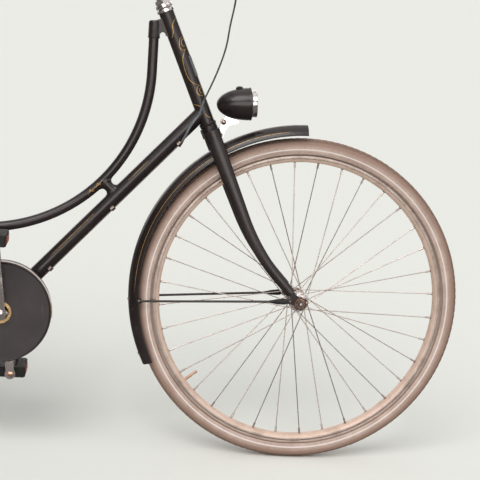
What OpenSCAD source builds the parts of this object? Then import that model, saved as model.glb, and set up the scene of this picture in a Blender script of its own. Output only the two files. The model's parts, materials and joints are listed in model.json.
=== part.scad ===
// Step-through city bicycle with a swan-neck frame, parked on its side stand.
// The bicycle is drawn upright, X forward, Y to its left, Z up from the ground,
// X = 0 under the crank axle; stance() then leans it onto the stand.

/* [Stance] */
// Sideways lean onto the stand, in degrees
lean = 6; // [5:0.25:7.5]

/* [Wheels] */
// Outer radius of both tyres
wheel_r = 355; // [345:1:365]
// Width of the round tyre section
tyre_w = 38; // [34:1:42]
// Level room between the crank axle and the front tyre, for the rider's toes
toe_room = 285; // [265:1:325]
// Level room between the crank axle and the rear tyre, for the seat tube and mudguard
tail_room = 120; // [110:1:140]
// Height of the rim from its spoke bed to the tyre's seat
rim_h = 18; // [14:0.5:22]
// Width of the rim
rim_w = 30; // [28:0.5:33]
// Number of spokes in each wheel
spoke_count = 36; // [28:4:40]
// Thickness of a spoke
spoke_d = 2; // [1.8:0.1:2.3]
// Radius of the front hub's spoke circle
front_hub_r = 18; // [15:0.5:24]
// Radius of the rear hub's spoke circle
rear_hub_r = 40; // [36:0.5:44]
// Distance of each spoke flange from the middle of its wheel
flange_y = 29; // [26:0.5:31]
// Diameter of the front axle
front_axle_d = 9.5; // [8:0.5:10]
// Diameter of the rear axle
rear_axle_d = 10; // [9:0.5:11]

/* [Frame] */
// How far the crank axle lies below the wheel axles
bb_drop = 45; // [35:1:55]
// Head tube angle from level, in degrees
head_angle = 66.1; // [65:0.1:68]
// Forward offset of the front axle from the steering axis
fork_rake = 50; // [44:1:58]
// Height of the head tube's lower end past the tyre's radius, along the steering axis
head_rise = 79; // [75:1:90]
// Length of the head tube
head_len = 249; // [235:1:260]
// Outer diameter of the head tube
head_d = 32; // [31:0.5:35]
// Diameter of the steerer tube
steerer_d = 25.4; // [24:0.2:26]
// Diameter of the down tube
down_d = 31; // [28:0.5:33]
// Where the down tube's axis meets the head tube, from its lower end
down_up = 25; // [22:1:34]
// Diameter of the curved top tube
swan_d = 21; // [19:0.5:24]
// Distance of the curved tube's upright behind the head tube's middle, at its top
swan_back = 32; // [30:0.5:36]
// Level stretch of the curved tube, from the seat tube's middle to its bend
swan_level = 15; // [10:1:30]
// Length of the brace between the curved tube and the down tube, where they run closest
brace_len = 18; // [14:0.5:26]
// Seat tube angle from level, in degrees
seat_angle = 67; // [66:0.25:69]
// Crank axle to the top of the seat tube
seat_len = 549; // [530:1:570]
// Diameter of the seat tube
seat_d = 28.6; // [28:0.2:30]
// Diameter of the seat post
post_d = 26; // [25:0.2:26.4]
// Seat post showing above the seat tube
post_out = 92; // [80:1:110]
// Outer diameter of the crank axle's shell
bb_d = 42; // [40:0.5:46]
// Width of the crank axle's shell
bb_w = 72; // [70:1:73]
// Diameter of each chain stay
chain_stay_d = 18; // [16:0.5:19]
// Diameter of each seat stay
seat_stay_d = 14; // [12:0.5:15]
// Inner spacing of the rear axle plates
rear_gap = 118; // [116:1:122]
// Thickness of the rear axle plates
drop_t = 5; // [4:0.5:6]

/* [Fork] */
// Blade spacing at the crown, middle to middle
blade_top_gap = 88; // [84:1:94]
// Inner spacing of the fork ends
fork_gap = 100; // [96:1:104]
// Thickness of the fork ends
fork_end_t = 4; // [3:0.5:5]
// Blade width at the crown, seen from the side
blade_top_w = 34; // [30:0.5:36]
// Blade width at the fork end, seen from the side
blade_low_w = 18; // [15:0.5:20]
// Blade thickness at the crown, across the bicycle
blade_top_t = 21; // [18:0.5:24]
// Blade thickness at the fork end, across the bicycle
blade_low_t = 13; // [11:0.5:15]
// Height of the crown
crown_h = 26; // [22:1:30]

/* [Handlebar] */
// Height of the stem's elbow above the upper head bearing
stem_rise = 96; // [80:1:120]
// Forward reach of the stem
stem_reach = 55; // [40:1:70]
// Diameter of the handlebar
bar_d = 22.2; // [22:0.2:24]
// Half length of the handlebar's straight middle
bar_flat = 112; // [100:1:120]
// Radius of the handlebar's bends
bar_bend = 108; // [95:1:120]
// Sweep of each bend, in degrees
bar_sweep = 70; // [64:1:74]
// Straight length behind each bend
bar_tail = 200; // [180:1:215]
// Upward slope of the handlebar towards the rider, in degrees
bar_slope = 9; // [5:0.5:14]
// Length of each grip
grip_len = 128; // [110:1:140]
// Diameter of each grip
grip_d = 32; // [30:0.5:35]

/* [Cranks] */
// Crank length, axle to pedal axle
crank_len = 170; // [160:1:175]
// Angle of the left crank from straight down, forward positive
crank_turn = 6; // [0:1:30]
// Diameter of the crank axle
spindle_d = 17; // [16:0.5:18]
// Inner face of each crank arm from the middle of the bicycle
crank_y = 74; // [73:0.5:78]
// Thickness of each crank arm
crank_t = 14; // [12:0.5:15]
// Diameter of the pedal axles
pedal_axle_d = 12; // [11:0.5:13]
// Length of each pedal along its axle
pedal_len = 92; // [86:1:100]
// Width of each pedal
pedal_w = 64; // [58:1:70]

/* [Chain case] */
// Radius of the case round the crank axle
case_front_r = 108; // [104:1:112]
// Radius of the case round the rear axle
case_rear_r = 55; // [52:1:60]
// Depth of the case across the bicycle
case_depth = 32; // [30:0.5:33]
// Wall thickness of the case
case_wall = 1.5; // [1.2:0.1:2]

/* [Guards] */
// How far the front mudguard's crest stands out past the tyre's radius
front_guard_out = 19; // [17:1:23]
// How far the rear mudguard's crest stands out past the tyre's radius
rear_guard_out = 23; // [21:1:27]
// Half width of both mudguards, which are half round
guard_half = 29.5; // [28:0.5:31]
// Sheet thickness of the mudguards
guard_t = 1.5; // [1.2:0.1:2]
// Thickness of the coat guards
coat_t = 1.5; // [1.2:0.1:2]
// Inner radius of the coat guards from the rear axle
coat_inner_r = 150; // [130:5:180]

/* [Saddle and rack] */
// Height of the rack's rails above the rear mudguard
rack_rise = 45; // [37:1:52]
// Half width of the rack, middle to middle of its rails
rack_half = 58; // [54:1:62]
// Diameter of the rack's rails
rack_d = 10; // [9:0.5:11]
// Free length of the saddle's rear coil springs
spring_h = 56; // [50:1:62]
// Thickness of the saddle's cushion
saddle_h = 46; // [40:1:52]
// Reach of the saddle's nose ahead of the post's top
saddle_nose = 160; // [145:1:175]
// Distance of the saddle's wide part behind the post's top
saddle_back = 92; // [82:1:100]

/* [Lamp] */
// Diameter of the headlamp
lamp_d = 70; // [64:1:74]
// Length of the headlamp's shell behind its ring
lamp_len = 74; // [68:1:80]
// Length of the headlamp's ring
lamp_ring = 11; // [9:0.5:13]
// Distance of the headlamp's ring ahead of the steering axis
lamp_ahead = 102; // [98:1:112]

/* [Stand] */
// Distance of the stand's pivot behind the crank axle
stand_x = 335; // [325:1:345]
// Drop of the stand's pivot below the chain stay's middle
stand_drop = 25; // [23:0.5:30]
// Outward tilt of the leg's swing plane, in degrees
stand_splay = 13; // [11:0.5:15]
// Forward slope of the leg in use, in degrees
stand_lead = 5; // [3:0.5:8]
// Diameter of the leg
stand_d = 16; // [14:0.5:17]

/* [Hidden] */
$fn = 64;
// Clearance of brazed, clamped and pushed-together pieces
seat_gap = 0.05;
// Radial clearance of turning fits
run_gap = 0.05;
// Clearance of pieces that lie against each other
lay_gap = 0.3;
// Overshoot of cutting shapes past what they cut
over = 1;
// Extra thickness of elbows and bends, where bars run a little way into them
elbow_more = 0.3;
// How far straight sides stand out past the round ends they join
side_more = 0.04;

black = "#17171a";
satin = "#242426";
chrome = "#c9ccd0";
steel = "#a7abb0";
brass = "#b58a43";
rubber = "#75625b";

// Main points, in the upright bicycle's own frame
tyre_r = tyre_w / 2;
bb = [0, 0, wheel_r - bb_drop];
front_axle_at = [toe_room + wheel_r, 0, wheel_r];
rear_axle_at = [-tail_room - wheel_r, 0, wheel_r];
steer_dir = [-cos(head_angle), 0, sin(head_angle)];
steer_ahead = [sin(head_angle), 0, cos(head_angle)];
steer_foot = front_axle_at - fork_rake * steer_ahead;
head_low = wheel_r + head_rise;
head_top = head_low + head_len;
function on_steer(s, ahead = 0) = steer_foot + s * steer_dir + ahead * steer_ahead;
seat_dir = [-cos(seat_angle), 0, sin(seat_angle)];
seat_top = bb + seat_len * seat_dir;
post_top = bb + (seat_len + post_out) * seat_dir;
down_top = on_steer(head_low + down_up);
front_guard_r = wheel_r + front_guard_out;
rear_guard_r = wheel_r + rear_guard_out;
function unit(v) = v / norm(v);

// Curved tube: upright behind the head tube, bent down to run level into the seat tube; its height
// leaves the brace's length between its bend and the down tube
swan_top_z = on_steer(head_top).z - 20;
function steer_x(z) = steer_foot.x - (z - steer_foot.z) / tan(head_angle);
swan_x = steer_x(swan_top_z) - swan_back;
down_dir = unit(down_top - bb);
swan_apart = brace_len + swan_d / 2 + down_d / 2;
bend_share = down_dir.x + down_dir.z - 1;
swan_rise = (swan_apart + swan_x * down_dir.z - (swan_x - swan_level) * bend_share)
    / (down_dir.x + bend_share / tan(seat_angle));
swan_low = bb.z + swan_rise;
swan_bend = swan_x - swan_level + swan_rise / tan(seat_angle);
swan_mid = [swan_x - swan_bend, 0, swan_low + swan_bend];

// Headset, stem and handlebar
cup_h = 9;
cup_d = head_d + 5;
race_h = 1.6;
crown_top = head_low - cup_h - lay_gap;
nut_low = head_top + cup_h + lay_gap;
nut_h = 18;
stem_at = on_steer(head_top + stem_rise);
bar_at = stem_at + [stem_reach, 0, 14];
stem_d = 22;
clamp_d = bar_d + 12;
clamp_w = 46;
function bar_point(back, out, up = 0) = bar_at
    + [-back * cos(bar_slope) + up * sin(bar_slope), out, back * sin(bar_slope) + up * cos(bar_slope)];
bar_bend_back = bar_bend * (1 - cos(bar_sweep));
bar_bend_out = bar_flat + bar_bend * sin(bar_sweep);
bar_end = bar_point(bar_bend_back + bar_tail * sin(bar_sweep), bar_bend_out + bar_tail * cos(bar_sweep));

// Reach of the whole bicycle, which sets its middle once it leans
x_mid = (front_axle_at.x + wheel_r + rear_axle_at.x - rear_guard_r) / 2;
y_mid = (bar_end.z - tyre_r) * sin(lean);

// Rear stays and plates
drop_y = rear_gap / 2;
stay_y = drop_y + drop_t / 2;
chain_stay_from = bb + [-14, 27, 0];
chain_stay_to = rear_axle_at + [24, stay_y, -4];
seat_stay_low = rear_axle_at + [7, stay_y, 22];
seat_stay_bend = seat_top + [-34, 41, -94];
seat_stay_top = seat_top + [7, 6, -22];
function along(a, b, t) = a + t * (b - a);

// Stand, in the plane its leg swings in
stand_share = (stand_x + chain_stay_from.x) / (chain_stay_from.x - chain_stay_to.x);
stand_stay = along(chain_stay_from, chain_stay_to, stand_share);
stand_eye_y = 14;
stand_at = stand_stay + [0, stand_eye_y, -stand_drop];
stand_axis = [0, cos(stand_splay), sin(stand_splay)];
stand_down = [sin(stand_lead), cos(stand_lead) * sin(stand_splay), -cos(stand_lead) * cos(stand_splay)];
stand_pin_d = 10;
stand_eye_d = 24;
stand_eye_w = stand_d + 2;
foot_r = 13;
// Height of the floor above the tyres' plane, in the leaned bicycle's own frame
function floor_z(y) = y * tan(lean) - tyre_r * (1 / cos(lean) - 1);
// Leg length that brings the round foot down to the floor
stand_len = (stand_at.z - floor_z(stand_at.y) - foot_r / cos(lean))
    / (stand_down.y * tan(lean) - stand_down.z);
stand_foot = stand_at + stand_len * stand_down;

// Wheels
rim_seat_r = wheel_r - tyre_w + 4;
rim_bed_r = rim_seat_r - rim_h;
rim_lip = 2.5;
flange_t = 2.4;
spoke_off = flange_t / 2 + spoke_d / 2 + seat_gap;
rim_hole_y = 3;
function flange_r(hub_r) = hub_r + 3.5;
cross_turn = 6 * 360 / spoke_count;

// Fork
crown_low = crown_top - crown_h;
crown_boss_d = head_d + 4;
crown_front_r = max(crown_boss_d, blade_top_w) / 2;
blade_y = blade_top_gap / 2;
fork_end_y = fork_gap / 2;
fork_end_mid = fork_end_y + fork_end_t / 2;
blade_end_slope = 46;
blade_end_up = 30;
blade_bend = 190;
blade_bend_turn = 90 - blade_end_slope - (90 - head_angle);
eyelet_at = front_axle_at + [-23, 0, 4.5];
eyelet_r = 6.5;

// Mudguards: sweep centres and the angles of their ends
front_guard_at = front_axle_at + [3, 0, 10];
front_guard_from = 91;
front_guard_to = 207;
rear_guard_from = -1;
rear_guard_to = 214;
front_stay_turn = 184;
rear_stay_turn = 168;
guard_stay_d = 5;

// Chain case, cranks and pedals
case_in_y = bb_w / 2 + lay_gap;
case_out_y = case_in_y + case_depth;
crank_boss_d = 30;
crank_ring_r = 20;
crank_out = crank_y + crank_t;
pedal_y = crank_out + 6;
crank_down = [sin(crank_turn), 0, -cos(crank_turn)];
pedal_left_at = bb + crank_len * crank_down;
pedal_right_at = bb - crank_len * crank_down;

// Saddle
saddle_low = post_top.z + spring_h - 6;
saddle_nose_x = post_top.x + saddle_nose;
saddle_back_x = post_top.x - saddle_back;
spring_x = post_top.x - 72;
spring_y = 62;
spring_r = 19;
spring_wire = 4;
rail_d = 8;
rail_y = 22;
post_clamp_r = 15;
clamp_half = rail_y - rail_d / 2 - seat_gap;

// Headlamp
lamp_at = on_steer(head_low + 4, lamp_ahead);
lamp_slope = 4;

// Rear brake and cable
brake_in_y = 43;
brake_r = 44;
cable_d = 4;
cable_route = [[254, -235, 1063], [330, -226, 1078], [408, -190, 1072], [448, -130, 1042], [457, -76, 996],
    [452, -42, 942], [446, -28, 890], [430, -21, 835], [407, -19, 778]];
cable_loop_d = 5;

// The whole bicycle leans about the middle of its tyres' round section
module stance() {
    translate([-x_mid, -y_mid, tyre_r])
        rotate([-lean, 0, 0])
            translate([0, 0, -tyre_r])
                children();
}

// The same piece on the left and on the right
module both_sides() {
    children();
    mirror([0, 1, 0]) children();
}

// Frame with Z up the steering axis, X ahead, at the axis foot
module steer() {
    translate(steer_foot) rotate([0, head_angle - 90, 0]) children();
}

// Frame with its XY plane upright along the bicycle and Z to its right
module upright(p) {
    translate(p) rotate([90, 0, 0]) children();
}

// Frame with Z from a towards b
module aim(a, b) {
    v = b - a;
    translate(a) rotate([0, acos(v.z / norm(v)), atan2(v.y, v.x)]) children();
}

// Round bar from a to b
module rod(a, b, d) {
    aim(a, b) cylinder(d = d, h = norm(b - a));
}

// Round bar along a chain of points, with round elbows a touch fuller than the bar
module bent_rod(points, d) {
    for (i = [0 : len(points) - 2]) rod(points[i], points[i + 1], d);
    for (i = [1 : len(points) - 2]) translate(points[i]) sphere(d = d + elbow_more);
}

// Disc across the bicycle, between two distances from its middle, on the left
module disc(p, r, y0, y1) {
    upright([p.x, y1, p.z]) cylinder(r = r, h = y1 - y0);
}

// Solid swept along a path; each ring is an ellipse, wide across the path and thick along side
function tangent(path, i) =
    unit(path[min(i + 1, len(path) - 1)] - path[max(i - 1, 0)]);
module swept(path, wide, thick, side, sides) {
    n = len(path);
    rings = [for (i = [0 : n - 1])
        let (t = tangent(path, i), e = unit(cross(t, side)), f = cross(e, t))
        for (k = [0 : sides - 1])
            path[i] + wide[i] / 2 * cos(360 * k / sides) * e + thick[i] / 2 * sin(360 * k / sides) * f];
    walls = [for (i = [0 : n - 2], k = [0 : sides - 1])
        let (a = i * sides + k, b = i * sides + (k + 1) % sides, c = a + sides, d = b + sides)
        each [[a, c, b], [b, c, d]]];
    low_cap = [[for (k = [0 : sides - 1]) k]];
    high_cap = [[for (k = [sides - 1 : -1 : 0]) (n - 1) * sides + k]];
    polyhedron(points = rings, faces = concat(walls, low_cap, high_cap));
}

// Smooth points through a short list, by a uniform cubic through each four neighbours
function smooth_point(p, i, u) =
    let (a = p[max(i - 1, 0)], b = p[i], c = p[i + 1], d = p[min(i + 2, len(p) - 1)])
    0.5 * (2 * b + (c - a) * u + (2 * a - 5 * b + 4 * c - d) * u * u
        + (3 * b - a - 3 * c + d) * u * u * u);
function smooth_path(p, parts) =
    concat([for (i = [0 : len(p) - 2], k = [0 : parts - 1]) smooth_point(p, i, k / parts)],
        [p[len(p) - 1]]);

// Band between the tangents of two circles, one at each axle of the chain drive
module drive_band(front_r, rear_r) {
    gap = [rear_axle_at.x - bb.x, rear_axle_at.z - bb.z];
    base = atan2(gap.y, gap.x);
    open = acos((front_r - rear_r) / norm(gap));
    polygon([for (s = [1, -1], e = s > 0 ? [0, 1] : [1, 0])
        ((e == 0 ? front_r : rear_r) + side_more) * [cos(base + s * open), sin(base + s * open)] + e * gap]);
}

// Half-round sheet swept about an axle between two angles
module guard_sweep(p, r, from, to) {
    upright(p) rotate([0, 0, from]) rotate_extrude(angle = to - from, $fn = 180)
        translate([r - guard_half, 0]) difference() {
            circle(r = guard_half);
            circle(r = guard_half - guard_t);
            translate([-2 * guard_half, -2 * guard_half]) square([2 * guard_half, 4 * guard_half]);
        }
}

// Solid of a mudguard's outside, for cutting what seats on it
module guard_outside(p, r) {
    upright(p) rotate_extrude($fn = 180) translate([r - guard_half, 0]) circle(r = guard_half + seat_gap);
}

// Tubes that others are cut to fit
module head_outside() {
    steer() translate([0, 0, head_low - over]) cylinder(d = head_d + 2 * seat_gap, h = head_len + 2 * over);
}
module seat_outside() {
    rod(bb, seat_top, seat_d + 2 * seat_gap);
}
module down_outside() {
    rod(bb, down_top, down_d + 2 * seat_gap);
}
module shell_outside() {
    upright(bb) cylinder(d = bb_d + 2 * seat_gap, h = bb_w + 2 * over, center = true);
}
module swan_bend_shape(d) {
    upright(swan_mid) rotate([0, 0, -90]) rotate_extrude(angle = 90, $fn = 180)
        translate([swan_bend, 0]) circle(d = d, $fn = 48);
}

// Frame

lug_low = 44;
lug_cap = 3;
lug_wall = 2;
lug_web = 12;

module head_tube() {
    color(black) stance() difference() {
        union() {
            steer() translate([0, 0, head_low]) cylinder(d = head_d, h = head_len);
            translate([swan_x, 0, swan_top_z - lug_low]) cylinder(d = swan_d + 2 * lug_wall, h = lug_low + lug_cap);
            upright([0, lug_web / 2, 0]) linear_extrude(lug_web) polygon([
                [swan_x, swan_top_z - lug_low], [swan_x, swan_top_z + lug_cap],
                [steer_x(swan_top_z + lug_cap), swan_top_z + lug_cap],
                [steer_x(swan_top_z - lug_low), swan_top_z - lug_low]]);
        }
        steer() translate([0, 0, head_low - over]) cylinder(d = steerer_d + 2 * run_gap, h = head_len + 2 * over);
        translate([swan_x, 0, swan_top_z - lug_low - over])
            cylinder(d = swan_d + 2 * seat_gap, h = lug_low + over + seat_gap);
    }
}

module swan_tube() {
    color(black) stance() difference() {
        union() {
            translate([swan_x, 0, swan_mid.z]) cylinder(d = swan_d, h = swan_top_z - swan_mid.z);
            swan_bend_shape(swan_d);
            rod([swan_mid.x, 0, swan_low], bb + (swan_low - bb.z) / seat_dir.z * seat_dir, swan_d);
        }
        seat_outside();
    }
}

module down_tube() {
    color(black) stance() difference() {
        rod(bb, down_top, down_d);
        shell_outside();
        seat_outside();
        head_outside();
    }
}

// Short brace where the curved tube runs closest above the down tube
brace_d = 22;
brace_dir = [down_dir.z, 0, -down_dir.x];
brace_from = swan_mid + swan_bend * brace_dir;
brace_to = brace_from + swan_apart * brace_dir;

module tube_brace() {
    color(black) stance() difference() {
        rod(brace_from, brace_to, brace_d);
        swan_bend_shape(swan_d + 2 * seat_gap);
        down_outside();
    }
}

collar_h = 24;
collar_t = 3;
post_deep = 160;

module seat_tube() {
    color(black) stance() difference() {
        union() {
            rod(bb, seat_top, seat_d);
            rod(seat_top - collar_h * seat_dir, seat_top, seat_d + 2 * collar_t);
        }
        shell_outside();
        rod(seat_top - post_deep * seat_dir, seat_top + over * seat_dir, post_d + 2 * seat_gap);
    }
}

module crank_shell() {
    color(black) stance() upright(bb) difference() {
        cylinder(d = bb_d, h = bb_w, center = true);
        cylinder(d = spindle_d + 2 * run_gap, h = bb_w + 2 * over, center = true);
    }
}

// Outline of a rear axle plate: a boss with a tab along each stay
drop_boss = 20;
module plate_outline(grow) {
    circle(r = drop_boss + grow);
    for (to = [chain_stay_from, seat_stay_bend]) {
        v = to - rear_axle_at;
        rotate(atan2(v.z, v.x)) translate([0, -6 - grow]) square([48 + grow, 12 + 2 * grow]);
    }
}

module plate_cut() {
    upright([rear_axle_at.x, drop_y + drop_t + seat_gap, rear_axle_at.z])
        linear_extrude(drop_t + 2 * seat_gap) plate_outline(seat_gap);
}

module chain_stays() {
    color(black) stance() both_sides() difference() {
        rod(chain_stay_from, chain_stay_to, chain_stay_d);
        shell_outside();
        seat_outside();
        plate_cut();
        disc(rear_axle_at, drop_boss + lay_gap, drop_y - 20, drop_y + 20);
    }
}

module seat_stays() {
    color(black) stance() difference() {
        union() {
            both_sides() difference() {
                bent_rod([seat_stay_low, seat_stay_bend, seat_stay_top], seat_stay_d);
                plate_cut();
                disc(rear_axle_at, drop_boss + lay_gap, drop_y - 20, drop_y + 20);
            }
            rod(seat_stay_bend, [seat_stay_bend.x, -seat_stay_bend.y, seat_stay_bend.z], seat_stay_d - 2);
        }
        rod(bb, seat_top + 2 * seat_dir, seat_d + 2 * collar_t + 2 * seat_gap);
    }
}

module rear_plates() {
    color(steel) stance() both_sides() difference() {
        upright([rear_axle_at.x, drop_y + drop_t, rear_axle_at.z]) linear_extrude(drop_t) plate_outline(0);
        disc(rear_axle_at, rear_axle_d / 2 + seat_gap, drop_y - over, drop_y + drop_t + over);
    }
}

module headset_cups() {
    color(chrome) stance() steer() for (z = [head_low - cup_h, head_top])
        translate([0, 0, z + (z > head_low ? seat_gap : -seat_gap)]) difference() {
            cylinder(d = cup_d, h = cup_h);
            translate([0, 0, -over]) cylinder(d = steerer_d + 2 * run_gap, h = cup_h + 2 * over);
        }
}

// Saddle and post

module seat_post() {
    color(chrome) stance() union() {
        rod(seat_top - (post_deep - 10) * seat_dir, post_top, post_d);
        upright([post_top.x, clamp_half, post_top.z]) cylinder(r = post_clamp_r, h = 2 * clamp_half);
    }
}

// Rails from the nose past the post's clamp to a cup under each spring
cup_z = post_top.z - 10;
cup_t = 3;
module saddle_rails() {
    rail_z = post_top.z + 8;
    under_z = cup_z - cup_t / 2 - rail_d / 2;
    color(chrome) stance() both_sides() {
        bent_rod([[saddle_nose_x - 24, 14, saddle_low - rail_d / 2 - lay_gap],
            [post_top.x + 40, rail_y, rail_z], [post_top.x - 24, rail_y, rail_z],
            [spring_x + spring_r + 10, spring_y - 16, under_z], [spring_x, spring_y, under_z]], rail_d);
        translate([spring_x, spring_y, cup_z - cup_t]) cylinder(r = spring_r + 4, h = cup_t);
    }
}

// Coil springs between the cups and the underside of the saddle
module saddle_springs() {
    turns = 5;
    steps = 14;
    low = cup_z + lay_gap + spring_wire / 2;
    high = saddle_low - lay_gap - spring_wire / 2;
    coil = [for (i = [0 : turns * steps])
        [spring_x + spring_r * cos(360 * i / steps), spring_y + spring_r * sin(360 * i / steps),
            low + (high - low) * i / (turns * steps)]];
    wire = [for (p = coil) spring_wire];
    color(chrome) stance() both_sides() swept(coil, wire, wire, [0, 0, 1], 8);
}

module saddle() {
    nose_r = saddle_h / 2;
    back_r = 34;
    back_y = 72;
    below = 10;
    color("#2a2523") stance() difference() {
        hull() {
            translate([saddle_nose_x - nose_r, 0, saddle_low + saddle_h - nose_r]) sphere(r = nose_r, $fn = 32);
            both_sides() translate([saddle_back_x, back_y, saddle_low + saddle_h - back_r])
                sphere(r = back_r, $fn = 32);
            translate([saddle_nose_x - nose_r, 0, saddle_low - below]) cylinder(r = nose_r - 4, h = below, $fn = 32);
            both_sides() translate([saddle_back_x, back_y, saddle_low - below])
                cylinder(r = back_r - 2, h = below, $fn = 32);
        }
        translate([saddle_back_x - 2 * back_r, -back_y - 2 * back_r, saddle_low - 2 * back_r])
            cube([saddle_nose + saddle_back + 4 * back_r, 2 * back_y + 4 * back_r, 2 * back_r]);
    }
}

// Chain case on the right, closed round the chain

module case_body(r_less, y0, y1) {
    front_r = case_front_r - r_less;
    rear_r = case_rear_r - r_less;
    mirror([0, 1, 0]) {
        disc(bb, front_r, y0, y1);
        disc(rear_axle_at, rear_r, y0, y1);
        upright([bb.x, y1, bb.z]) linear_extrude(y1 - y0) drive_band(front_r, rear_r);
    }
}

module chain_case() {
    slot = 2.5;
    color(satin) stance() difference() {
        case_body(0, case_in_y, case_out_y);
        case_body(case_wall, case_in_y + case_wall, case_out_y - case_wall);
        mirror([0, 1, 0]) {
            disc(bb, crank_boss_d / 2 + 3, case_in_y - over, case_out_y + over);
            disc(rear_axle_at, 14, case_in_y - over, case_out_y + over);
            disc(rear_axle_at, rear_hub_r + 6, case_in_y - over, case_in_y + case_wall + over);
            rod(chain_stay_from, chain_stay_to, chain_stay_d + 2 * slot);
            rod(seat_stay_low, seat_stay_bend, seat_stay_d + 2 * slot);
        }
    }
}

// Pale strip over the case's front and upper edge
trim_from = -4;
trim_t = 1.6;
trim_w = 9;
trim_back = 330;
module case_trim() {
    past = 2 * case_front_r;
    color("#cfc6b4") stance() intersection() {
        difference() {
            case_body(-trim_t - seat_gap, case_out_y - trim_w, case_out_y - over);
            case_body(-seat_gap, case_out_y - trim_w - over, case_out_y + over);
        }
        mirror([0, 1, 0]) upright([bb.x, case_out_y + over, bb.z]) linear_extrude(trim_w + 2 * over)
            polygon([[0, 0], past * [cos(trim_from), sin(trim_from)], [past, past], [-trim_back, past],
                [-trim_back, 0]]);
    }
}

module case_ring() {
    color(brass) stance() mirror([0, 1, 0]) difference() {
        disc(bb, crank_ring_r + 4, case_out_y + seat_gap, case_out_y + 2);
        disc(bb, crank_boss_d / 2 + 3, case_out_y - over, case_out_y + 2 + over);
    }
}

// Guards, rack and lamp at the back

module rear_mudguard() {
    color(black) stance() guard_sweep(rear_axle_at, rear_guard_r, rear_guard_from, rear_guard_to);
}

// Stay from a plate at an axle to a mudguard's edge, flattened at both ends
module guard_stay(low, high) {
    tab_t = 2.5;
    tab_r = 6;
    disc(low, tab_r, low.y, low.y + tab_t);
    disc(high, tab_r, high.y, high.y + tab_t);
    rod(low + [0, tab_t, 0], high + [0, tab_t, 0], guard_stay_d);
}

module rear_guard_stays() {
    edge_r = rear_guard_r - guard_half + 6;
    low = along(seat_stay_low, seat_stay_bend, 0.2) + [0, seat_stay_d / 2 + seat_gap, 0];
    high = rear_axle_at + edge_r * [cos(rear_stay_turn), 0, sin(rear_stay_turn)]
        + [0, guard_half + coat_t + 2 * lay_gap, 0];
    color(black) stance() both_sides() guard_stay(low, high);
}

module coat_guards() {
    y0 = guard_half + lay_gap;
    color("#1c1c1e") stance() both_sides() upright([rear_axle_at.x, y0 + coat_t, rear_axle_at.z])
        rotate([0, 0, 34]) rotate_extrude(angle = 138, $fn = 180)
            translate([coat_inner_r, 0]) square([rear_guard_r - guard_half + 14 - coat_inner_r, coat_t]);
}

rack_z = rear_axle_at.z + rear_guard_r + rack_rise;
rack_front_x = rear_axle_at.x + 145;
rack_back_x = rear_axle_at.x - 270;
module rack() {
    slat_d = rack_d - 3;
    color(black) stance() {
        difference() {
            both_sides() bent_rod([along(seat_stay_bend, seat_stay_top, 0.75),
                [rack_front_x, rack_half, rack_z], [rack_back_x, rack_half, rack_z]], rack_d);
            both_sides() rod(seat_stay_bend, seat_stay_top, seat_stay_d + 2 * seat_gap);
        }
        translate([rack_back_x, 0, rack_z]) rotate([0, 0, 90]) rotate_extrude(angle = 180)
            translate([rack_half, 0]) circle(d = rack_d);
        for (y = [-rack_half / 3, rack_half / 3])
            rod([rack_front_x - 20, y, rack_z], [rack_back_x - sqrt(rack_half * rack_half - y * y), y, rack_z], slat_d);
        for (i = [0 : 3]) let (x = rack_front_x - 20 - i * 125)
            rod([x, -rack_half, rack_z], [x, rack_half, rack_z], slat_d);
    }
}

// Legs from the seat stays up to the rack's rails
rack_leg_x = rear_axle_at.x - 135;
module rack_legs() {
    color(black) stance() both_sides() difference() {
        rod(along(seat_stay_low, seat_stay_bend, 0.34), [rack_leg_x, rack_half, rack_z], rack_d - 1);
        rod(seat_stay_low, seat_stay_bend, seat_stay_d + 2 * seat_gap);
        rod([rack_front_x, rack_half, rack_z], [rack_back_x, rack_half, rack_z], rack_d + 2 * seat_gap);
    }
}

module rear_lamp() {
    turn = 152;
    lamp_r = 26;
    color("#a01418") stance() difference() {
        upright(rear_axle_at) rotate([0, 0, turn]) translate([rear_guard_r - 6, 0, 0]) rotate([0, 90, 0])
            union() {
                cylinder(r = lamp_r, h = 30);
                translate([0, 0, 30]) cylinder(r1 = lamp_r, r2 = lamp_r - 6, h = 6);
            }
        guard_outside(rear_axle_at, rear_guard_r);
    }
}

// Rear axle and brake

// Axle across the bicycle with a hexagon nut outside each plate
module nutted_axle(p, d, half, plate_out, nut_h) {
    upright([p.x, half, p.z]) cylinder(d = d, h = 2 * half);
    both_sides() upright([p.x, plate_out + nut_h, p.z]) cylinder(d = 2 * d - 1, h = nut_h, $fn = 6);
}

rear_half = drop_y + drop_t + 16;
module rear_axle() {
    color(steel) stance() nutted_axle(rear_axle_at, rear_axle_d, rear_half, drop_y + drop_t + seat_gap, 8);
}

module rear_brake() {
    arm_to = along(chain_stay_from, chain_stay_to, 0.84) + [0, 0, -chain_stay_d / 2 - 8];
    color(steel) stance() difference() {
        union() {
            disc(rear_axle_at, brake_r, brake_in_y, brake_in_y + 4);
            disc(rear_axle_at, 14, brake_in_y, drop_y - seat_gap);
            disc(brake_lever_end - [7 + cable_d / 2, 0, 0], 7, brake_in_y, brake_lever_end.y + 4);
            upright([0, brake_in_y + 4, 0]) linear_extrude(4) polygon([
                [rear_axle_at.x + 20, rear_axle_at.z - 38], [rear_axle_at.x + 40, rear_axle_at.z - 12],
                [arm_to.x + 6, arm_to.z + 4], [arm_to.x + 6, arm_to.z - 8]]);
        }
        disc(rear_axle_at, rear_axle_d / 2 + seat_gap, 0, drop_y + over);
        rod(chain_stay_from, chain_stay_to, chain_stay_d + 2 * seat_gap);
    }
}

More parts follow.
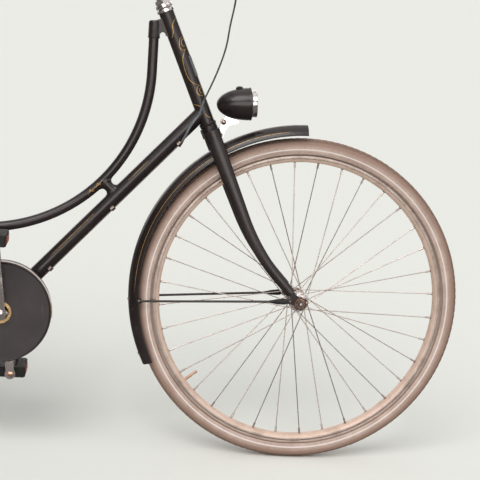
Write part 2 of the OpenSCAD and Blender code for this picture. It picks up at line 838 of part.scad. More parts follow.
// Brake cable held under the down tube, then along the left chain stay to the brake's arm
brake_lever_end = rear_axle_at + [33, 52, 20];
module brake_cable() {
    slack = 1;
    under = cross([0, 1, 0], down_dir);
    function on_down(t, a, more) = along(bb, down_top, t)
        + (down_d / 2 + cable_d / 2 + more) * (cos(a) * under - sin(a) * [0, 1, 0]);
    function on_shell(a, y) = bb + [0, y, 0] + (bb_d / 2 + cable_d / 2 + 2 * slack) * [cos(a), 0, sin(a)];
    function on_stay(t, a) = along(chain_stay_from, chain_stay_to, t)
        + (chain_stay_d / 2 + cable_d / 2 + slack) * [0, cos(a), sin(a)];
    route = [cable_route[len(cable_route) - 1],
        on_down(0.99, 90, slack), on_down(0.93, 60, slack), on_down(0.87, 32, lay_gap),
        on_down(0.12, 32, lay_gap), on_shell(12, -9), on_shell(-32, -4), on_shell(-76, 8), on_shell(-120, 24),
        on_stay(0.1, -20), on_stay(0.2, 35), on_stay(0.3, 90), on_stay(0.86, 90), brake_lever_end];
    color("#2b2b2e") stance()
        swept(route, [for (p = route) cable_d], [for (p = route) cable_d], [0, 1, 0.2], 8);
}

module cable_loop() {
    path = smooth_path(cable_route, 4);
    color("#2b2b2e") stance()
        swept(path, [for (p = path) cable_loop_d], [for (p = path) cable_loop_d], [0, 1, 0.2], 8);
}

// Side stand on the left chain stay

module stand_bracket() {
    block = [44, chain_stay_d + 8, stand_drop + 4];
    eye_in = stand_at - (stand_eye_w / 2 + lay_gap) * stand_axis;
    eye_out = stand_at + (stand_eye_w / 2 + lay_gap) * stand_axis;
    color(steel) stance() difference() {
        union() {
            difference() {
                translate(stand_stay + [-block.x / 2, -block.y / 2, -stand_drop - 6]) cube(block);
                rod(eye_in, eye_in + block.x * stand_axis, 3 * block.x);
            }
            rod(eye_in - stand_eye_y / 2 * stand_axis, eye_out + 4 * stand_axis, stand_pin_d);
            rod(eye_out, eye_out + 4 * stand_axis, stand_pin_d + 8);
        }
        rod(chain_stay_from, chain_stay_to, chain_stay_d + 2 * seat_gap);
    }
}

module stand_leg() {
    color(steel) stance() difference() {
        union() {
            rod(stand_at - stand_eye_w / 2 * stand_axis, stand_at + stand_eye_w / 2 * stand_axis, stand_eye_d);
            rod(stand_at, stand_foot, stand_d);
            translate(stand_foot) sphere(r = foot_r);
        }
        rod(stand_at - stand_eye_w * stand_axis, stand_at + stand_eye_w * stand_axis, stand_pin_d + 2 * run_gap);
    }
}

// Fork and steering

module fork_crown() {
    quill_deep = 66;
    color(black) stance() difference() {
        steer() difference() {
            union() {
                translate([0, 0, crown_low]) cylinder(d = crown_boss_d, h = crown_h - race_h);
                translate([0, 0, crown_low]) cylinder(d = steerer_d, h = nut_low + nut_h - crown_low);
                translate([0, 0, crown_top - race_h]) cylinder(d = head_d + 2, h = race_h);
                both_sides() translate([0, blade_y, crown_low]) cylinder(d = blade_top_w + 4, h = crown_h - 6);
                translate([-blade_top_w / 2, -blade_y, crown_low]) cube([blade_top_w, 2 * blade_y, crown_h - 6]);
                translate([0, 0, crown_low - 30]) cylinder(d = 14, h = 40);
            }
            translate([0, 0, nut_low + nut_h - quill_deep]) cylinder(d = stem_d + 2 * seat_gap, h = quill_deep + over);
        }
        guard_outside(front_guard_at, front_guard_r);
    }
}

// Blade path: down the steering axis, a bend forward, then straight to the fork end
blade_end_dir = [-cos(blade_end_slope), 0, sin(blade_end_slope)];
blade_end = front_axle_at + blade_end_up * blade_end_dir;
bend_tan = blade_bend * tan(blade_bend_turn / 2);
// Where the fork end's line crosses the steering axis
bend_at = steer_foot + steer_dir * (cross(front_axle_at - steer_foot, blade_end_dir).y
    / cross(steer_dir, blade_end_dir).y);
bend_mid = bend_at + bend_tan * steer_dir + blade_bend * steer_ahead;
blade_rings = 7;
// Drop of the blade's tilted upper end, which keeps it clear of the crown's flat underside
blade_tilt = atan((fork_end_mid - blade_y) / (crown_low - blade_end_up));
blade_down = blade_top_t / 2 * sin(blade_tilt) + seat_gap;
blade_path = concat(
    [for (i = [0 : 3]) along(on_steer(crown_low - blade_down), bend_at + bend_tan * steer_dir, i / 4)],
    [for (i = [0 : blade_rings]) let (a = 270 - head_angle + blade_bend_turn * i / blade_rings)
        bend_mid + blade_bend * [cos(a), 0, sin(a)]],
    [blade_end]);

module fork_blades() {
    n = len(blade_path);
    reach = on_steer(crown_low).z - blade_end.z;
    share = [for (p = blade_path) (on_steer(crown_low).z - p.z) / reach];
    path = [for (i = [0 : n - 1]) blade_path[i] + [0, blade_y + share[i] * (fork_end_mid - blade_y), 0]];
    wide = [for (s = share) blade_top_w + s * (blade_low_w - blade_top_w)];
    thick = [for (s = share) blade_top_t + s * (blade_low_t - blade_top_t)];
    color(black) stance() both_sides() swept(path, wide, thick, [0, 1, 0], 20);
}

module fork_ends() {
    color(black) stance() both_sides() difference() {
        upright([front_axle_at.x, fork_end_y + fork_end_t, front_axle_at.z]) linear_extrude(fork_end_t) {
            circle(r = 13);
            rotate(180 - blade_end_slope) translate([0, -7])
                square([blade_end_up - fork_end_t / 2 * sin(blade_tilt) - seat_gap, 14]);
            translate([eyelet_at.x - front_axle_at.x, eyelet_at.z - front_axle_at.z]) circle(r = eyelet_r);
            polygon([[0, -8], [0, 8], [eyelet_at.x - front_axle_at.x, 10], [eyelet_at.x - front_axle_at.x, -1]]);
        }
        disc(front_axle_at, front_axle_d / 2 + seat_gap, fork_end_y - over, fork_end_y + fork_end_t + over);
    }
}

module headset_nut() {
    color(chrome) stance() steer() translate([0, 0, nut_low]) difference() {
        union() {
            cylinder(d = cup_d, h = 6);
            cylinder(d = head_d + 5, h = nut_h, $fn = 6);
        }
        translate([0, 0, -over]) cylinder(d = steerer_d + 2 * seat_gap, h = nut_h + 2 * over);
    }
}

module stem() {
    color(chrome) stance() difference() {
        union() {
            rod(on_steer(nut_low + nut_h - 60), stem_at, stem_d);
            translate(stem_at) sphere(d = stem_d + elbow_more);
            rod(stem_at, bar_at, stem_d);
            upright([bar_at.x, clamp_w / 2, bar_at.z]) cylinder(d = clamp_d, h = clamp_w);
        }
        upright([bar_at.x, clamp_w, bar_at.z]) cylinder(d = bar_d + 2 * seat_gap, h = 2 * clamp_w);
    }
}

// Frame in the handlebar's own plane, X ahead
module bar_plane() {
    translate(bar_at) rotate([0, bar_slope, 0]) children();
}

module handlebar() {
    into = 0.5;
    color(chrome) stance() {
        rod(bar_point(0, -bar_flat - into), bar_point(0, bar_flat + into), bar_d);
        both_sides() {
            bar_plane() translate([-bar_bend, bar_flat, 0]) rotate_extrude(angle = bar_sweep, $fn = 120)
                translate([bar_bend, 0]) circle(d = bar_d + elbow_more, $fn = 48);
            rod(bar_point(bar_bend_back, bar_bend_out) - into * tail_dir, bar_end, bar_d);
        }
    }
}

tail_dir = unit(bar_end - bar_point(bar_bend_back, bar_bend_out));
module grips() {
    bore_r = bar_d / 2 + seat_gap;
    flange_h = 4;
    flange_r = grip_d / 2;
    body_r = flange_r - 1;
    dome_h = 13;
    steps = 6;
    dome = [for (i = [0 : steps]) let (a = 90 * i / steps) [body_r * cos(a), grip_len + dome_h * sin(a)]];
    color(satin) stance() both_sides() aim(bar_end - grip_len * tail_dir, bar_end) rotate_extrude()
        polygon(concat([[bore_r, 0], [flange_r, 0], [flange_r, flange_h], [body_r, flange_h + 1]], dome,
            [[0, grip_len + seat_gap], [bore_r, grip_len + seat_gap]]));
}

// Brake lever on the right, its clamp just ahead of the grip
lever_back = grip_len + 16;
module brake_lever() {
    clamp_at = bar_end - lever_back * tail_dir;
    pivot = clamp_at + [16, 0, -20];
    tip = bar_end + [6, 8, -34];
    color(chrome) stance() mirror([0, 1, 0]) difference() {
        union() {
            rod(clamp_at - 9 * tail_dir, clamp_at + 9 * tail_dir, bar_d + 8);
            rod(clamp_at + [6, 0, -8], pivot, 14);
            translate(pivot) sphere(d = 15);
            rod(pivot, pivot + 26 * unit([1, 0.1, 0.1]), 10);
            rod(pivot, tip, 9);
            translate(tip) sphere(d = 13);
        }
        rod(clamp_at - 20 * tail_dir, clamp_at + 20 * tail_dir, bar_d + 2 * seat_gap);
    }
}

// Domed bell on the left of the bar's middle
bell_y = 74;
module bell() {
    dome_r = 28;
    dome_t = 2;
    post_h = bar_d / 2 + 12;
    color(chrome) stance() bar_plane() translate([0, bell_y, 0]) {
        difference() {
            union() {
                rotate([90, 0, 0]) cylinder(d = bar_d + 6, h = 12, center = true);
                cylinder(d = 10, h = post_h + dome_r - dome_t / 2);
            }
            rotate([90, 0, 0]) cylinder(d = bar_d + 2 * seat_gap, h = 14, center = true);
        }
        translate([0, 0, post_h]) rotate_extrude() difference() {
            circle(r = dome_r);
            circle(r = dome_r - dome_t);
            translate([-2 * dome_r, -2 * dome_r]) square([4 * dome_r, 2 * dome_r]);
            translate([-2 * dome_r, -over]) square([2 * dome_r, 2 * dome_r]);
        }
    }
}

// Headlamp

module lamp_frame() {
    translate(lamp_at) rotate([0, -lamp_slope, 0]) rotate([0, 90, 0]) children();
}

module lamp_shell() {
    steps = 10;
    color(black) stance() union() {
        lamp_frame() rotate_extrude() polygon(concat([[0, 0], [0, -lamp_len]],
            [for (i = [1 : steps]) let (u = i / steps)
                [lamp_d / 2 * sqrt(1 - pow(1 - u, 2.2)), -lamp_len * (1 - u)]]));
        lamp_frame() translate([-lamp_d / 2 + 4, 0, -26]) rotate([0, -90, 0]) cylinder(d = 12, h = 9);
    }
}

module lamp_ring_front() {
    color(chrome) stance() lamp_frame() translate([0, 0, seat_gap]) difference() {
        cylinder(d = lamp_d + 3, h = lamp_ring);
        translate([0, 0, 2]) cylinder(d = lamp_d - 7, h = lamp_ring);
    }
}

module lamp_lens() {
    glass_d = lamp_d - 7 - 2 * lay_gap;
    bow = 120;
    color("#dfe6ea") stance() lamp_frame() translate([0, 0, 2 + lay_gap]) intersection() {
        cylinder(d = glass_d, h = lamp_ring);
        translate([0, 0, lamp_ring - 1 - bow]) sphere(r = bow, $fn = 96);
    }
}

// Bracket from the crown's front up to the lamp's foot
module lamp_bracket() {
    plate_t = 10;
    crown_front = on_steer(crown_low + 10, crown_front_r);
    lamp_foot = lamp_at + [-26, 0, -lamp_d / 2 - 2];
    color(chrome) stance() difference() {
        union() {
            upright([0, plate_t / 2, 0]) linear_extrude(plate_t) polygon([
                [crown_front.x - 5, crown_front.z - 9], [crown_front.x - 5, crown_front.z + 9],
                [lamp_foot.x - 12, lamp_foot.z - 4], [lamp_foot.x - 12, lamp_foot.z + 14],
                [lamp_foot.x + 12, lamp_foot.z + 14], [lamp_foot.x + 12, lamp_foot.z - 8],
                [crown_front.x + 10, crown_front.z - 9]]);
            upright([lamp_foot.x, plate_t / 2 + 5, lamp_foot.z - 3]) cylinder(d = 13, h = plate_t + 10, $fn = 6);
        }
        steer() translate([-crown_front_r, -crown_front_r, crown_low - 20])
            cube([2 * crown_front_r + seat_gap, 2 * crown_front_r, 3 * crown_h]);
        lamp_frame() translate([0, 0, -lamp_len]) cylinder(d = lamp_d + 2 * seat_gap, h = lamp_len);
    }
}

module front_mudguard() {
    color(black) stance() guard_sweep(front_guard_at, front_guard_r, front_guard_from, front_guard_to);
}

module front_guard_stays() {
    edge_r = front_guard_r - guard_half + 6;
    low = [eyelet_at.x, fork_end_y + fork_end_t + seat_gap, eyelet_at.z];
    high = front_guard_at + edge_r * [cos(front_stay_turn), 0, sin(front_stay_turn)]
        + [0, guard_half + lay_gap, 0];
    color(black) stance() both_sides() guard_stay(low, high);
}

front_half = fork_end_y + fork_end_t + 14;
module front_axle() {
    color(steel) stance()
        nutted_axle(front_axle_at, front_axle_d, front_half, fork_end_y + fork_end_t + seat_gap, 7);
}

// Wheels

module tyre(p) {
    upright(p) rotate_extrude($fn = 180) difference() {
        translate([wheel_r - tyre_r, 0]) circle(d = tyre_w);
        translate([0, -tyre_w]) square([rim_seat_r, 2 * tyre_w]);
    }
}

module rim(p) {
    half = rim_w / 2;
    bed = 8;
    wall = 2;
    lip_in = half - rim_lip;
    upright(p) rotate_extrude($fn = 180) polygon([
        [rim_bed_r, -bed], [rim_bed_r + 6, 1 - half], [rim_seat_r + rim_lip, -half],
        [rim_seat_r - seat_gap, -lip_in], [rim_seat_r - seat_gap, wall - lip_in],
        [rim_bed_r + 6 + wall, wall - lip_in], [rim_bed_r + wall, wall - bed],
        [rim_bed_r + wall, bed - wall], [rim_bed_r + 6 + wall, lip_in - wall],
        [rim_seat_r - seat_gap, lip_in - wall], [rim_seat_r - seat_gap, lip_in],
        [rim_seat_r + rim_lip, half], [rim_bed_r + 6, half - 1], [rim_bed_r, bed]]);
}

// Tyre valve through the rim's spoke bed
module valve(p, turn) {
    upright(p) rotate([0, 0, turn]) translate([rim_bed_r + 1, 0, 0]) rotate([0, -90, 0]) union() {
        cylinder(d = 6, h = 20);
        cylinder(d = 5, h = 34);
    }
}

// Crossed spokes, pulling both ways from each flange, each with its nipple at the rim
module spokes(p, hub_r) {
    nipple_h = 12;
    // How far an outer spoke comes in before it is past the flange's edge
    pull_way = [rim_bed_r * cos(cross_turn) - hub_r, rim_bed_r * sin(cross_turn)];
    pull_out = hub_r * pull_way.x / norm(pull_way);
    past_edge = sqrt(pull_out * pull_out + pow(flange_r(hub_r), 2) - hub_r * hub_r) - pull_out;
    outer_off = spoke_off + (past_edge + spoke_d) * (flange_y - rim_hole_y) / norm(pull_way);
    translate(p) for (i = [0 : spoke_count - 1]) {
        side = i % 2 == 0 ? 1 : -1;
        pull = floor(i / 2) % 2 == 0 ? 1 : -1;
        at_rim = 360 / spoke_count * (i + 0.5);
        at_hub = at_rim + pull * cross_turn;
        hub_y = flange_y + (pull > 0 ? outer_off : -spoke_off);
        from = [hub_r * cos(at_hub), side * hub_y, hub_r * sin(at_hub)];
        to = [(rim_bed_r - seat_gap) * cos(at_rim), side * rim_hole_y, (rim_bed_r - seat_gap) * sin(at_rim)];
        rod(from, to - seat_gap * unit(to - from), spoke_d);
        rod(to - nipple_h * unit(to - from), to - seat_gap * unit(to - from), 2 * spoke_d);
    }
}

// Hub turned from one bar: barrel, two spoke flanges and end caps
module hub(p, barrel_r, hub_r, bore_d, half) {
    upright(p) difference() {
        union() {
            cylinder(r = barrel_r, h = 2 * half, center = true);
            for (y = [-flange_y, flange_y]) translate([0, 0, y]) cylinder(r = flange_r(hub_r), h = flange_t, center = true);
            for (y = [-flange_y + 5, flange_y - 5]) translate([0, 0, y])
                cylinder(r = min(barrel_r + 3, hub_r - 4), h = 10, center = true);
        }
        cylinder(d = bore_d + 2 * run_gap, h = 2 * half + 2 * over, center = true);
    }
}

valve_turn = 219;
module front_tyre() { color(rubber) stance() tyre(front_axle_at); }
module rear_tyre() { color(rubber) stance() tyre(rear_axle_at); }
module front_rim() {
    color(steel) stance() union() {
        rim(front_axle_at);
        valve(front_axle_at, valve_turn);
    }
}
module rear_rim() {
    color(steel) stance() union() {
        rim(rear_axle_at);
        valve(rear_axle_at, valve_turn);
    }
}
module front_spokes() { color(steel) stance() spokes(front_axle_at, front_hub_r); }
module rear_spokes() { color(steel) stance() spokes(rear_axle_at, rear_hub_r); }
module front_hub() {
    color(chrome) stance() hub(front_axle_at, 13, front_hub_r, front_axle_d, fork_end_y - lay_gap);
}
module rear_hub() {
    color(chrome) stance() hub(rear_axle_at, 32, rear_hub_r, rear_axle_d, brake_in_y - 2);
}

// Cranks and pedals

module crank_arm(at) {
    v = at - bb;
    upright([bb.x, crank_out, bb.z]) linear_extrude(crank_t) {
        circle(d = crank_boss_d);
        translate([v.x, v.z]) circle(d = 24);
        rotate(atan2(v.z, v.x)) polygon([[0, -13], [0, 13], [crank_len, 9], [crank_len, -9]]);
    }
    rod(at + [0, crank_out - over, 0], at + [0, pedal_y + pedal_len + 3, 0], pedal_axle_d);
    rod(at + [0, crank_out - over, 0], at + [0, pedal_y - 2, 0], pedal_axle_d + 5);
}

module cranks() {
    color(chrome) stance() union() {
        upright([bb.x, crank_out, bb.z]) cylinder(d = spindle_d, h = 2 * crank_out);
        mirror([0, 1, 0]) disc(bb, crank_boss_d / 2, case_out_y - 8, crank_y + over);
        disc(bb, crank_boss_d / 2, bb_w / 2 + 4, crank_y + over);
        crank_arm(pedal_left_at);
        mirror([0, 1, 0]) crank_arm(pedal_right_at);
    }
}

// Pedal with two rubber blocks between end plates, turning on the crank's pedal axle
module pedal(at) {
    plate_t = 4;
    plate_h = 24;
    block_h = 22;
    core_d = pedal_axle_d + 8;
    block_w = pedal_w / 2 - core_d / 2 - 2;
    translate([at.x, pedal_y, at.z]) difference() {
        union() {
            for (y = [0, pedal_len - plate_t]) translate([-pedal_w / 2 + 3, y, -plate_h / 2])
                cube([pedal_w - 6, plate_t, plate_h]);
            for (x = [-pedal_w / 2, pedal_w / 2 - block_w]) translate([x, plate_t - over, -block_h / 2])
                cube([block_w, pedal_len - 2 * plate_t + 2 * over, block_h]);
            rotate([-90, 0, 0]) cylinder(d = core_d, h = pedal_len);
        }
        translate([0, -over, 0]) rotate([-90, 0, 0])
            cylinder(d = pedal_axle_d + 2 * run_gap, h = pedal_len + 2 * over);
    }
}

module pedal_left() { color(satin) stance() pedal(pedal_left_at); }
module pedal_right() { color(satin) stance() mirror([0, 1, 0]) pedal(pedal_right_at); }

head_tube();
swan_tube();
down_tube();
tube_brace();
seat_tube();
crank_shell();
chain_stays();
seat_stays();
rear_plates();
headset_cups();
seat_post();
saddle_rails();
saddle_springs();
saddle();
chain_case();
case_trim();
case_ring();
rear_mudguard();
rear_guard_stays();
coat_guards();
rack();
rack_legs();
rear_lamp();
rear_axle();
rear_brake();
brake_cable();
cable_loop();
stand_bracket();
stand_leg();
fork_crown();
fork_blades();
fork_ends();
headset_nut();
stem();
handlebar();
grips();
brake_lever();
bell();
lamp_shell();
lamp_ring_front();
lamp_lens();
lamp_bracket();
front_mudguard();
front_guard_stays();
front_axle();
front_tyre();
front_rim();
front_spokes();
front_hub();
rear_tyre();
rear_rim();
rear_spokes();
rear_hub();
cranks();
pedal_left();
pedal_right();
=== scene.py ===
# Looks of a step-through city bicycle with a swan-neck frame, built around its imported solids.
import json
import math

import bmesh
import bpy
from mathutils import Matrix, Vector
from mathutils.bvhtree import BVHTree


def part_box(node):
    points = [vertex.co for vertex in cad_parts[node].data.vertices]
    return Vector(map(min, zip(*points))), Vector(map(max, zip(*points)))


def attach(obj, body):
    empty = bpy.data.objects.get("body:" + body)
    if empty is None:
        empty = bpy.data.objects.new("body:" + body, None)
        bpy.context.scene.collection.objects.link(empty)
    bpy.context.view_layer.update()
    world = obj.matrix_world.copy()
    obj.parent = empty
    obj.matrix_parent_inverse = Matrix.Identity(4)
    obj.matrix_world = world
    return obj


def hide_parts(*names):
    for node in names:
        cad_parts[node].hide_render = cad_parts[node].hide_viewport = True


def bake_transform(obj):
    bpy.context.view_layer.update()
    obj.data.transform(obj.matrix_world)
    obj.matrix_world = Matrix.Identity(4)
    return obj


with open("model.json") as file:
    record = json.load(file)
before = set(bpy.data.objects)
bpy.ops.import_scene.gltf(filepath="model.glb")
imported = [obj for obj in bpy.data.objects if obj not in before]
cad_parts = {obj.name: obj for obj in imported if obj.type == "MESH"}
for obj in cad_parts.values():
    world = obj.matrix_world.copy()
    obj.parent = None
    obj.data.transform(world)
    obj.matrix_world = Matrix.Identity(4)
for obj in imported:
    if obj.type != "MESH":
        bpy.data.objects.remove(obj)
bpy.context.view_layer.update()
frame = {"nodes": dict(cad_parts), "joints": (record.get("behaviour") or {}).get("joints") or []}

# The bicycle's own frame, read from its joints: X ahead, Y to its left, Z up from its ground line, in millimetres
MM = 0.001
JOINTS = {joint["name"]: joint for joint in frame["joints"]}
AHEAD = Vector((1, 0, 0))
LEFT = Vector(JOINTS["front_wheel_spin"]["axis"]).normalized()
UP = AHEAD.cross(LEFT)
X, Y, Z = Vector((1, 0, 0)), Vector((0, 1, 0)), Vector((0, 0, 1))
SIDES = (1, -1)
tyre_low, tyre_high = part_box("front_tyre")
WHEEL_R = (tyre_high.x - tyre_low.x) / 2 / MM


def bicycle_frame():
    crank = Vector(JOINTS["crank_spin"]["pos_m"])
    axle = Vector(JOINTS["front_wheel_spin"]["pos_m"])
    ground = crank - UP * (WHEEL_R * MM - (axle - crank).dot(UP))
    turn = Matrix((AHEAD, LEFT, UP)).transposed().to_4x4()
    return Matrix.Translation(ground) @ turn @ Matrix.Scale(MM, 4)


BIKE = bicycle_frame()


def joint_spot(name):
    return BIKE.inverted() @ Vector(JOINTS[name]["pos_m"])


def joint_axis(name):
    return (BIKE.to_3x3().inverted() @ Vector(JOINTS[name]["axis"])).normalized()


FRONT, REAR, CRANK = (joint_spot(n) for n in ("front_wheel_spin", "rear_wheel_spin", "crank_spin"))
STEER_UP = joint_axis("steer")
STEER_AHEAD = Y.cross(STEER_UP)
STEER_FOOT = joint_spot("steer") + STEER_UP * (FRONT - joint_spot("steer")).dot(STEER_UP)

# Sizes, in millimetres
TYRE_R, TREAD_BLOCKS, TREAD_HIGH = 19.0, 150, 0.75
RIM_SEAT_R = WHEEL_R - 2 * TYRE_R + 4
RIM_BED_R = RIM_SEAT_R - 18
SPOKES = 36
FLANGE_Y = 29.0
HEAD_LOW, HEAD_LEN, HEAD_R = 434.0, 249.0, 16.0
HEAD_TOP = HEAD_LOW + HEAD_LEN
DOWN_R, SWAN_R = 15.5, 10.5
SWAN_MID, SWAN_BEND = Vector((-57.45, 0, 832.58)), 351.89
CUP_H, CROWN_H, SEAT_GAP = 9.0, 26.0, 0.3
GUARD_HALF, GUARD_SPREAD, GUARD_SHEET, GUARD_BEAD_R = 29.5, 72, 1.3, 1.6
FRONT_GUARD = FRONT + Vector((3, 0, 10))
FRONT_GUARD_R, REAR_GUARD_R = 374.0, 378.0
STAY_TURN = 184
CASE_R, CASE_REAR_R, CASE_OUT = 108.0, 55.0, 68.3
BAR_REACH = Vector((55, 0, 14))
BAR_AT = STEER_FOOT + STEER_UP * 779 + BAR_REACH
BAR_SLOPE, BAR_R = math.radians(9), 11.1
LAMP_R, LAMP_LEN, BEZEL_R = 35.0, 74.0, 28.5
SADDLE_LOW, SADDLE_TOP = 950.0, 996.0


def on_steer(up, ahead=0.0, left=0.0):
    return STEER_FOOT + STEER_UP * up + STEER_AHEAD * ahead + Y * left


DOWN_TOP = on_steer(HEAD_LOW + 25)
DOWN_WAY = (DOWN_TOP - CRANK).normalized()
DOWN_UNDER = Y.cross(DOWN_WAY)
LAMP_AT = on_steer(HEAD_LOW + 4, 102)
LAMP_WAY = Vector((math.cos(math.radians(4)), 0, math.sin(math.radians(4))))


# Camera: where the photograph was taken from, in the bicycle's own frame
CAMERA_AT = Vector((208, -3000, 915))
CAMERA_RIGHT = Vector((0.9940, -0.0893, 0.0647))
CAMERA_UP = Vector((-0.0510, 0.1482, 0.9877))
CAMERA_LENS = 104.8


def make_camera():
    data = bpy.data.cameras.new("camera")
    data.lens, data.sensor_width = CAMERA_LENS, 36
    camera = bpy.data.objects.new("camera", data)
    right = CAMERA_RIGHT.normalized()
    up = (CAMERA_UP - right * CAMERA_UP.dot(right)).normalized()
    turn = Matrix((right, up, right.cross(up))).transposed()
    place = (BIKE.to_3x3() * (1 / MM)) @ turn
    camera.matrix_world = Matrix.Translation(BIKE @ CAMERA_AT) @ place.to_4x4()
    bpy.context.collection.objects.link(camera)
    bpy.context.scene.camera = camera


make_camera()


# Node maths: a value on a surface or on points, whose operators add the nodes that work it out
class Value:
    def __init__(self, graph, socket):
        self.graph, self.socket = graph, socket

    def math(self, operation, *others):
        inputs = dict(enumerate((self, *others)))
        return self.graph.node("ShaderNodeMath", {"operation": operation}, inputs)

    def __add__(self, other):
        return self.math("ADD", other)

    def __sub__(self, other):
        return self.math("SUBTRACT", other)

    def __rsub__(self, other):
        return (self * -1) + other

    def __mul__(self, other):
        return self.math("MULTIPLY", other)

    def __truediv__(self, other):
        return self.math("DIVIDE", other)

    __radd__, __rmul__ = __add__, __mul__

    def rise(self, low, high):
        """0 below low, 1 above high, smooth between."""
        ends = {"Value": self, "From Min": low, "From Max": high}
        return self.graph.node("ShaderNodeMapRange", {"interpolation_type": "SMOOTHSTEP"}, ends)

    def band(self, middle, half, soft):
        """1 within half of middle, fading to 0 over soft."""
        return 1 - (self - middle).math("ABSOLUTE").rise(half, half + soft)


class Graph:
    def __init__(self, tree):
        self.tree = tree

    def feed(self, socket, value):
        if isinstance(value, Value):
            self.tree.links.new(value.socket, socket)
        elif isinstance(value, tuple) and len(value) == 3 and socket.type == "RGBA":
            socket.default_value = (*value, 1)
        else:
            socket.default_value = value

    def node(self, kind, settings=None, inputs=None, output=0):
        made = self.tree.nodes.new(kind)
        for name, value in (settings or {}).items():
            setattr(made, name, value)
        for name, value in (inputs or {}).items():
            self.feed(made.inputs[name], value)
        return Value(self, made.outputs[output])


class Finish(Graph):
    """One material: its shader, and the patterns that feed it, in metres on the bicycle."""

    def __init__(self, name, **constants):
        self.material = bpy.data.materials.new(name)
        self.material.use_nodes = True
        super().__init__(self.material.node_tree)
        self.tree.nodes.clear()
        self.shader = self.tree.nodes.new("ShaderNodeBsdfPrincipled")
        end = self.tree.nodes.new("ShaderNodeOutputMaterial")
        self.tree.links.new(self.shader.outputs[0], end.inputs[0])
        self.spot = self.node("ShaderNodeTexCoord", output="Object")
        self.set(**constants)

    def set(self, **values):
        for name, value in values.items():
            self.feed(self.shader.inputs[name.replace("_", " ")], value)
        return self.material

    def noise(self, scale, detail=3.0, spot=None):
        inputs = {"Vector": spot or self.spot, "Scale": scale, "Detail": detail}
        return self.node("ShaderNodeTexNoise", None, inputs)

    def specks(self, scale, size):
        inputs = {"Vector": self.spot, "Scale": scale}
        return 1 - self.node("ShaderNodeTexVoronoi", None, inputs).rise(size, size * 2)

    def stretched(self, way, share):
        """Object places drawn out along a direction, for brushed or drawn marks."""
        along = self.vector("SCALE", way, Scale=self.dot(self.spot, way) * (share - 1))
        return self.vector("ADD", self.spot, along)

    def vector(self, operation, a, b=None, **more):
        inputs = {0: a if isinstance(a, Value) else tuple(a), **more}
        if b is not None:
            inputs[1] = b if isinstance(b, Value) else tuple(b)
        return self.node("ShaderNodeVectorMath", {"operation": operation}, inputs)

    def dot(self, a, b):
        inputs = {0: a, 1: tuple(b)}
        return self.node("ShaderNodeVectorMath", {"operation": "DOT_PRODUCT"}, inputs, "Value")

    def about(self, axle):
        """Radius, side and angle of each place about an axle across the bicycle, in millimetres and degrees."""
        rel = self.vector("SUBTRACT", self.spot, BIKE @ axle)
        ahead, side, up = (self.dot(rel, way) / MM for way in (AHEAD, LEFT, UP))
        radius = (ahead * ahead + up * up).math("SQRT")
        return radius, side, up.math("ARCTAN2", ahead) * (180 / math.pi)

    def mix(self, share, a, b):
        inputs = {"Factor": share, 6: a, 7: b}
        return self.node("ShaderNodeMix", {"data_type": "RGBA"}, inputs, 2)

    def bump(self, height, depth, strength=1.0):
        inputs = {"Height": height, "Distance": depth, "Strength": strength}
        return self.node("ShaderNodeBump", None, inputs)


# Finishes

def black_enamel():
    """Stove enamel: warm near-black, dulled in patches, with fine dust and a slight orange peel."""
    f = Finish("black_enamel", Specular_IOR_Level=0.4, Coat_Roughness=0.12)
    worn = f.noise(7, 5).rise(0.42, 0.7)
    dust = f.noise(60, 6).rise(0.6, 0.85) + 0.5 * f.specks(420, 0.09)
    paint = f.mix(worn, (0.0165, 0.0112, 0.0105), (0.031, 0.0225, 0.021))
    return f.set(Base_Color=f.mix(dust * 0.16, paint, (0.19, 0.15, 0.135)),
                 Roughness=0.27 + 0.12 * worn + 0.2 * dust, Coat_Weight=0.3 - 0.22 * worn,
                 Normal=f.bump(f.noise(900, 2), 0.00006))


def charcoal_case():
    """Coated chain case: charcoal cloth coat with a fine grain, rubbed in patches, and a painted highlight that
    makes it paler towards the middle round the crank.
    """
    f = Finish("charcoal_case", Specular_IOR_Level=0.4)
    radius = f.about(CRANK)[0]
    rubbed = f.noise(13, 5).rise(0.35, 0.75)
    scuff = f.noise(90, 6, f.stretched(UP, 0.25)).rise(0.6, 0.8)
    coat = f.mix(rubbed, (0.036, 0.0295, 0.0285), (0.056, 0.0465, 0.0455))
    # painted highlight: the coat is mixed paler towards the crank, fading out by 95 mm from it
    coat = f.mix(radius.rise(0, 95) * -0.25 + 0.3, coat, (0.075, 0.064, 0.063))
    return f.set(Base_Color=f.mix(scuff * 0.25, coat, (0.12, 0.105, 0.1)),
                 Roughness=0.5 + 0.12 * rubbed - 0.1 * scuff,
                 Normal=f.bump(f.noise(1500, 3) + 0.6 * f.noise(420, 2), 0.00012))


def plated(name, tone, shade, gloss, worn_gloss, scale=26):
    """Plated or polished metal with breath-like smears and small dull pits."""
    f = Finish(name, Metallic=1.0)
    smear = f.noise(scale, 5).rise(0.38, 0.72)
    pits = f.specks(900, 0.05)
    return f.set(Base_Color=f.mix(smear * 0.7 + 0.3 * pits, tone, shade),
                 Roughness=gloss + (worn_gloss - gloss) * smear + 0.1 * pits,
                 Normal=f.bump(f.noise(260, 2) - 0.3 * pits, 0.00002))


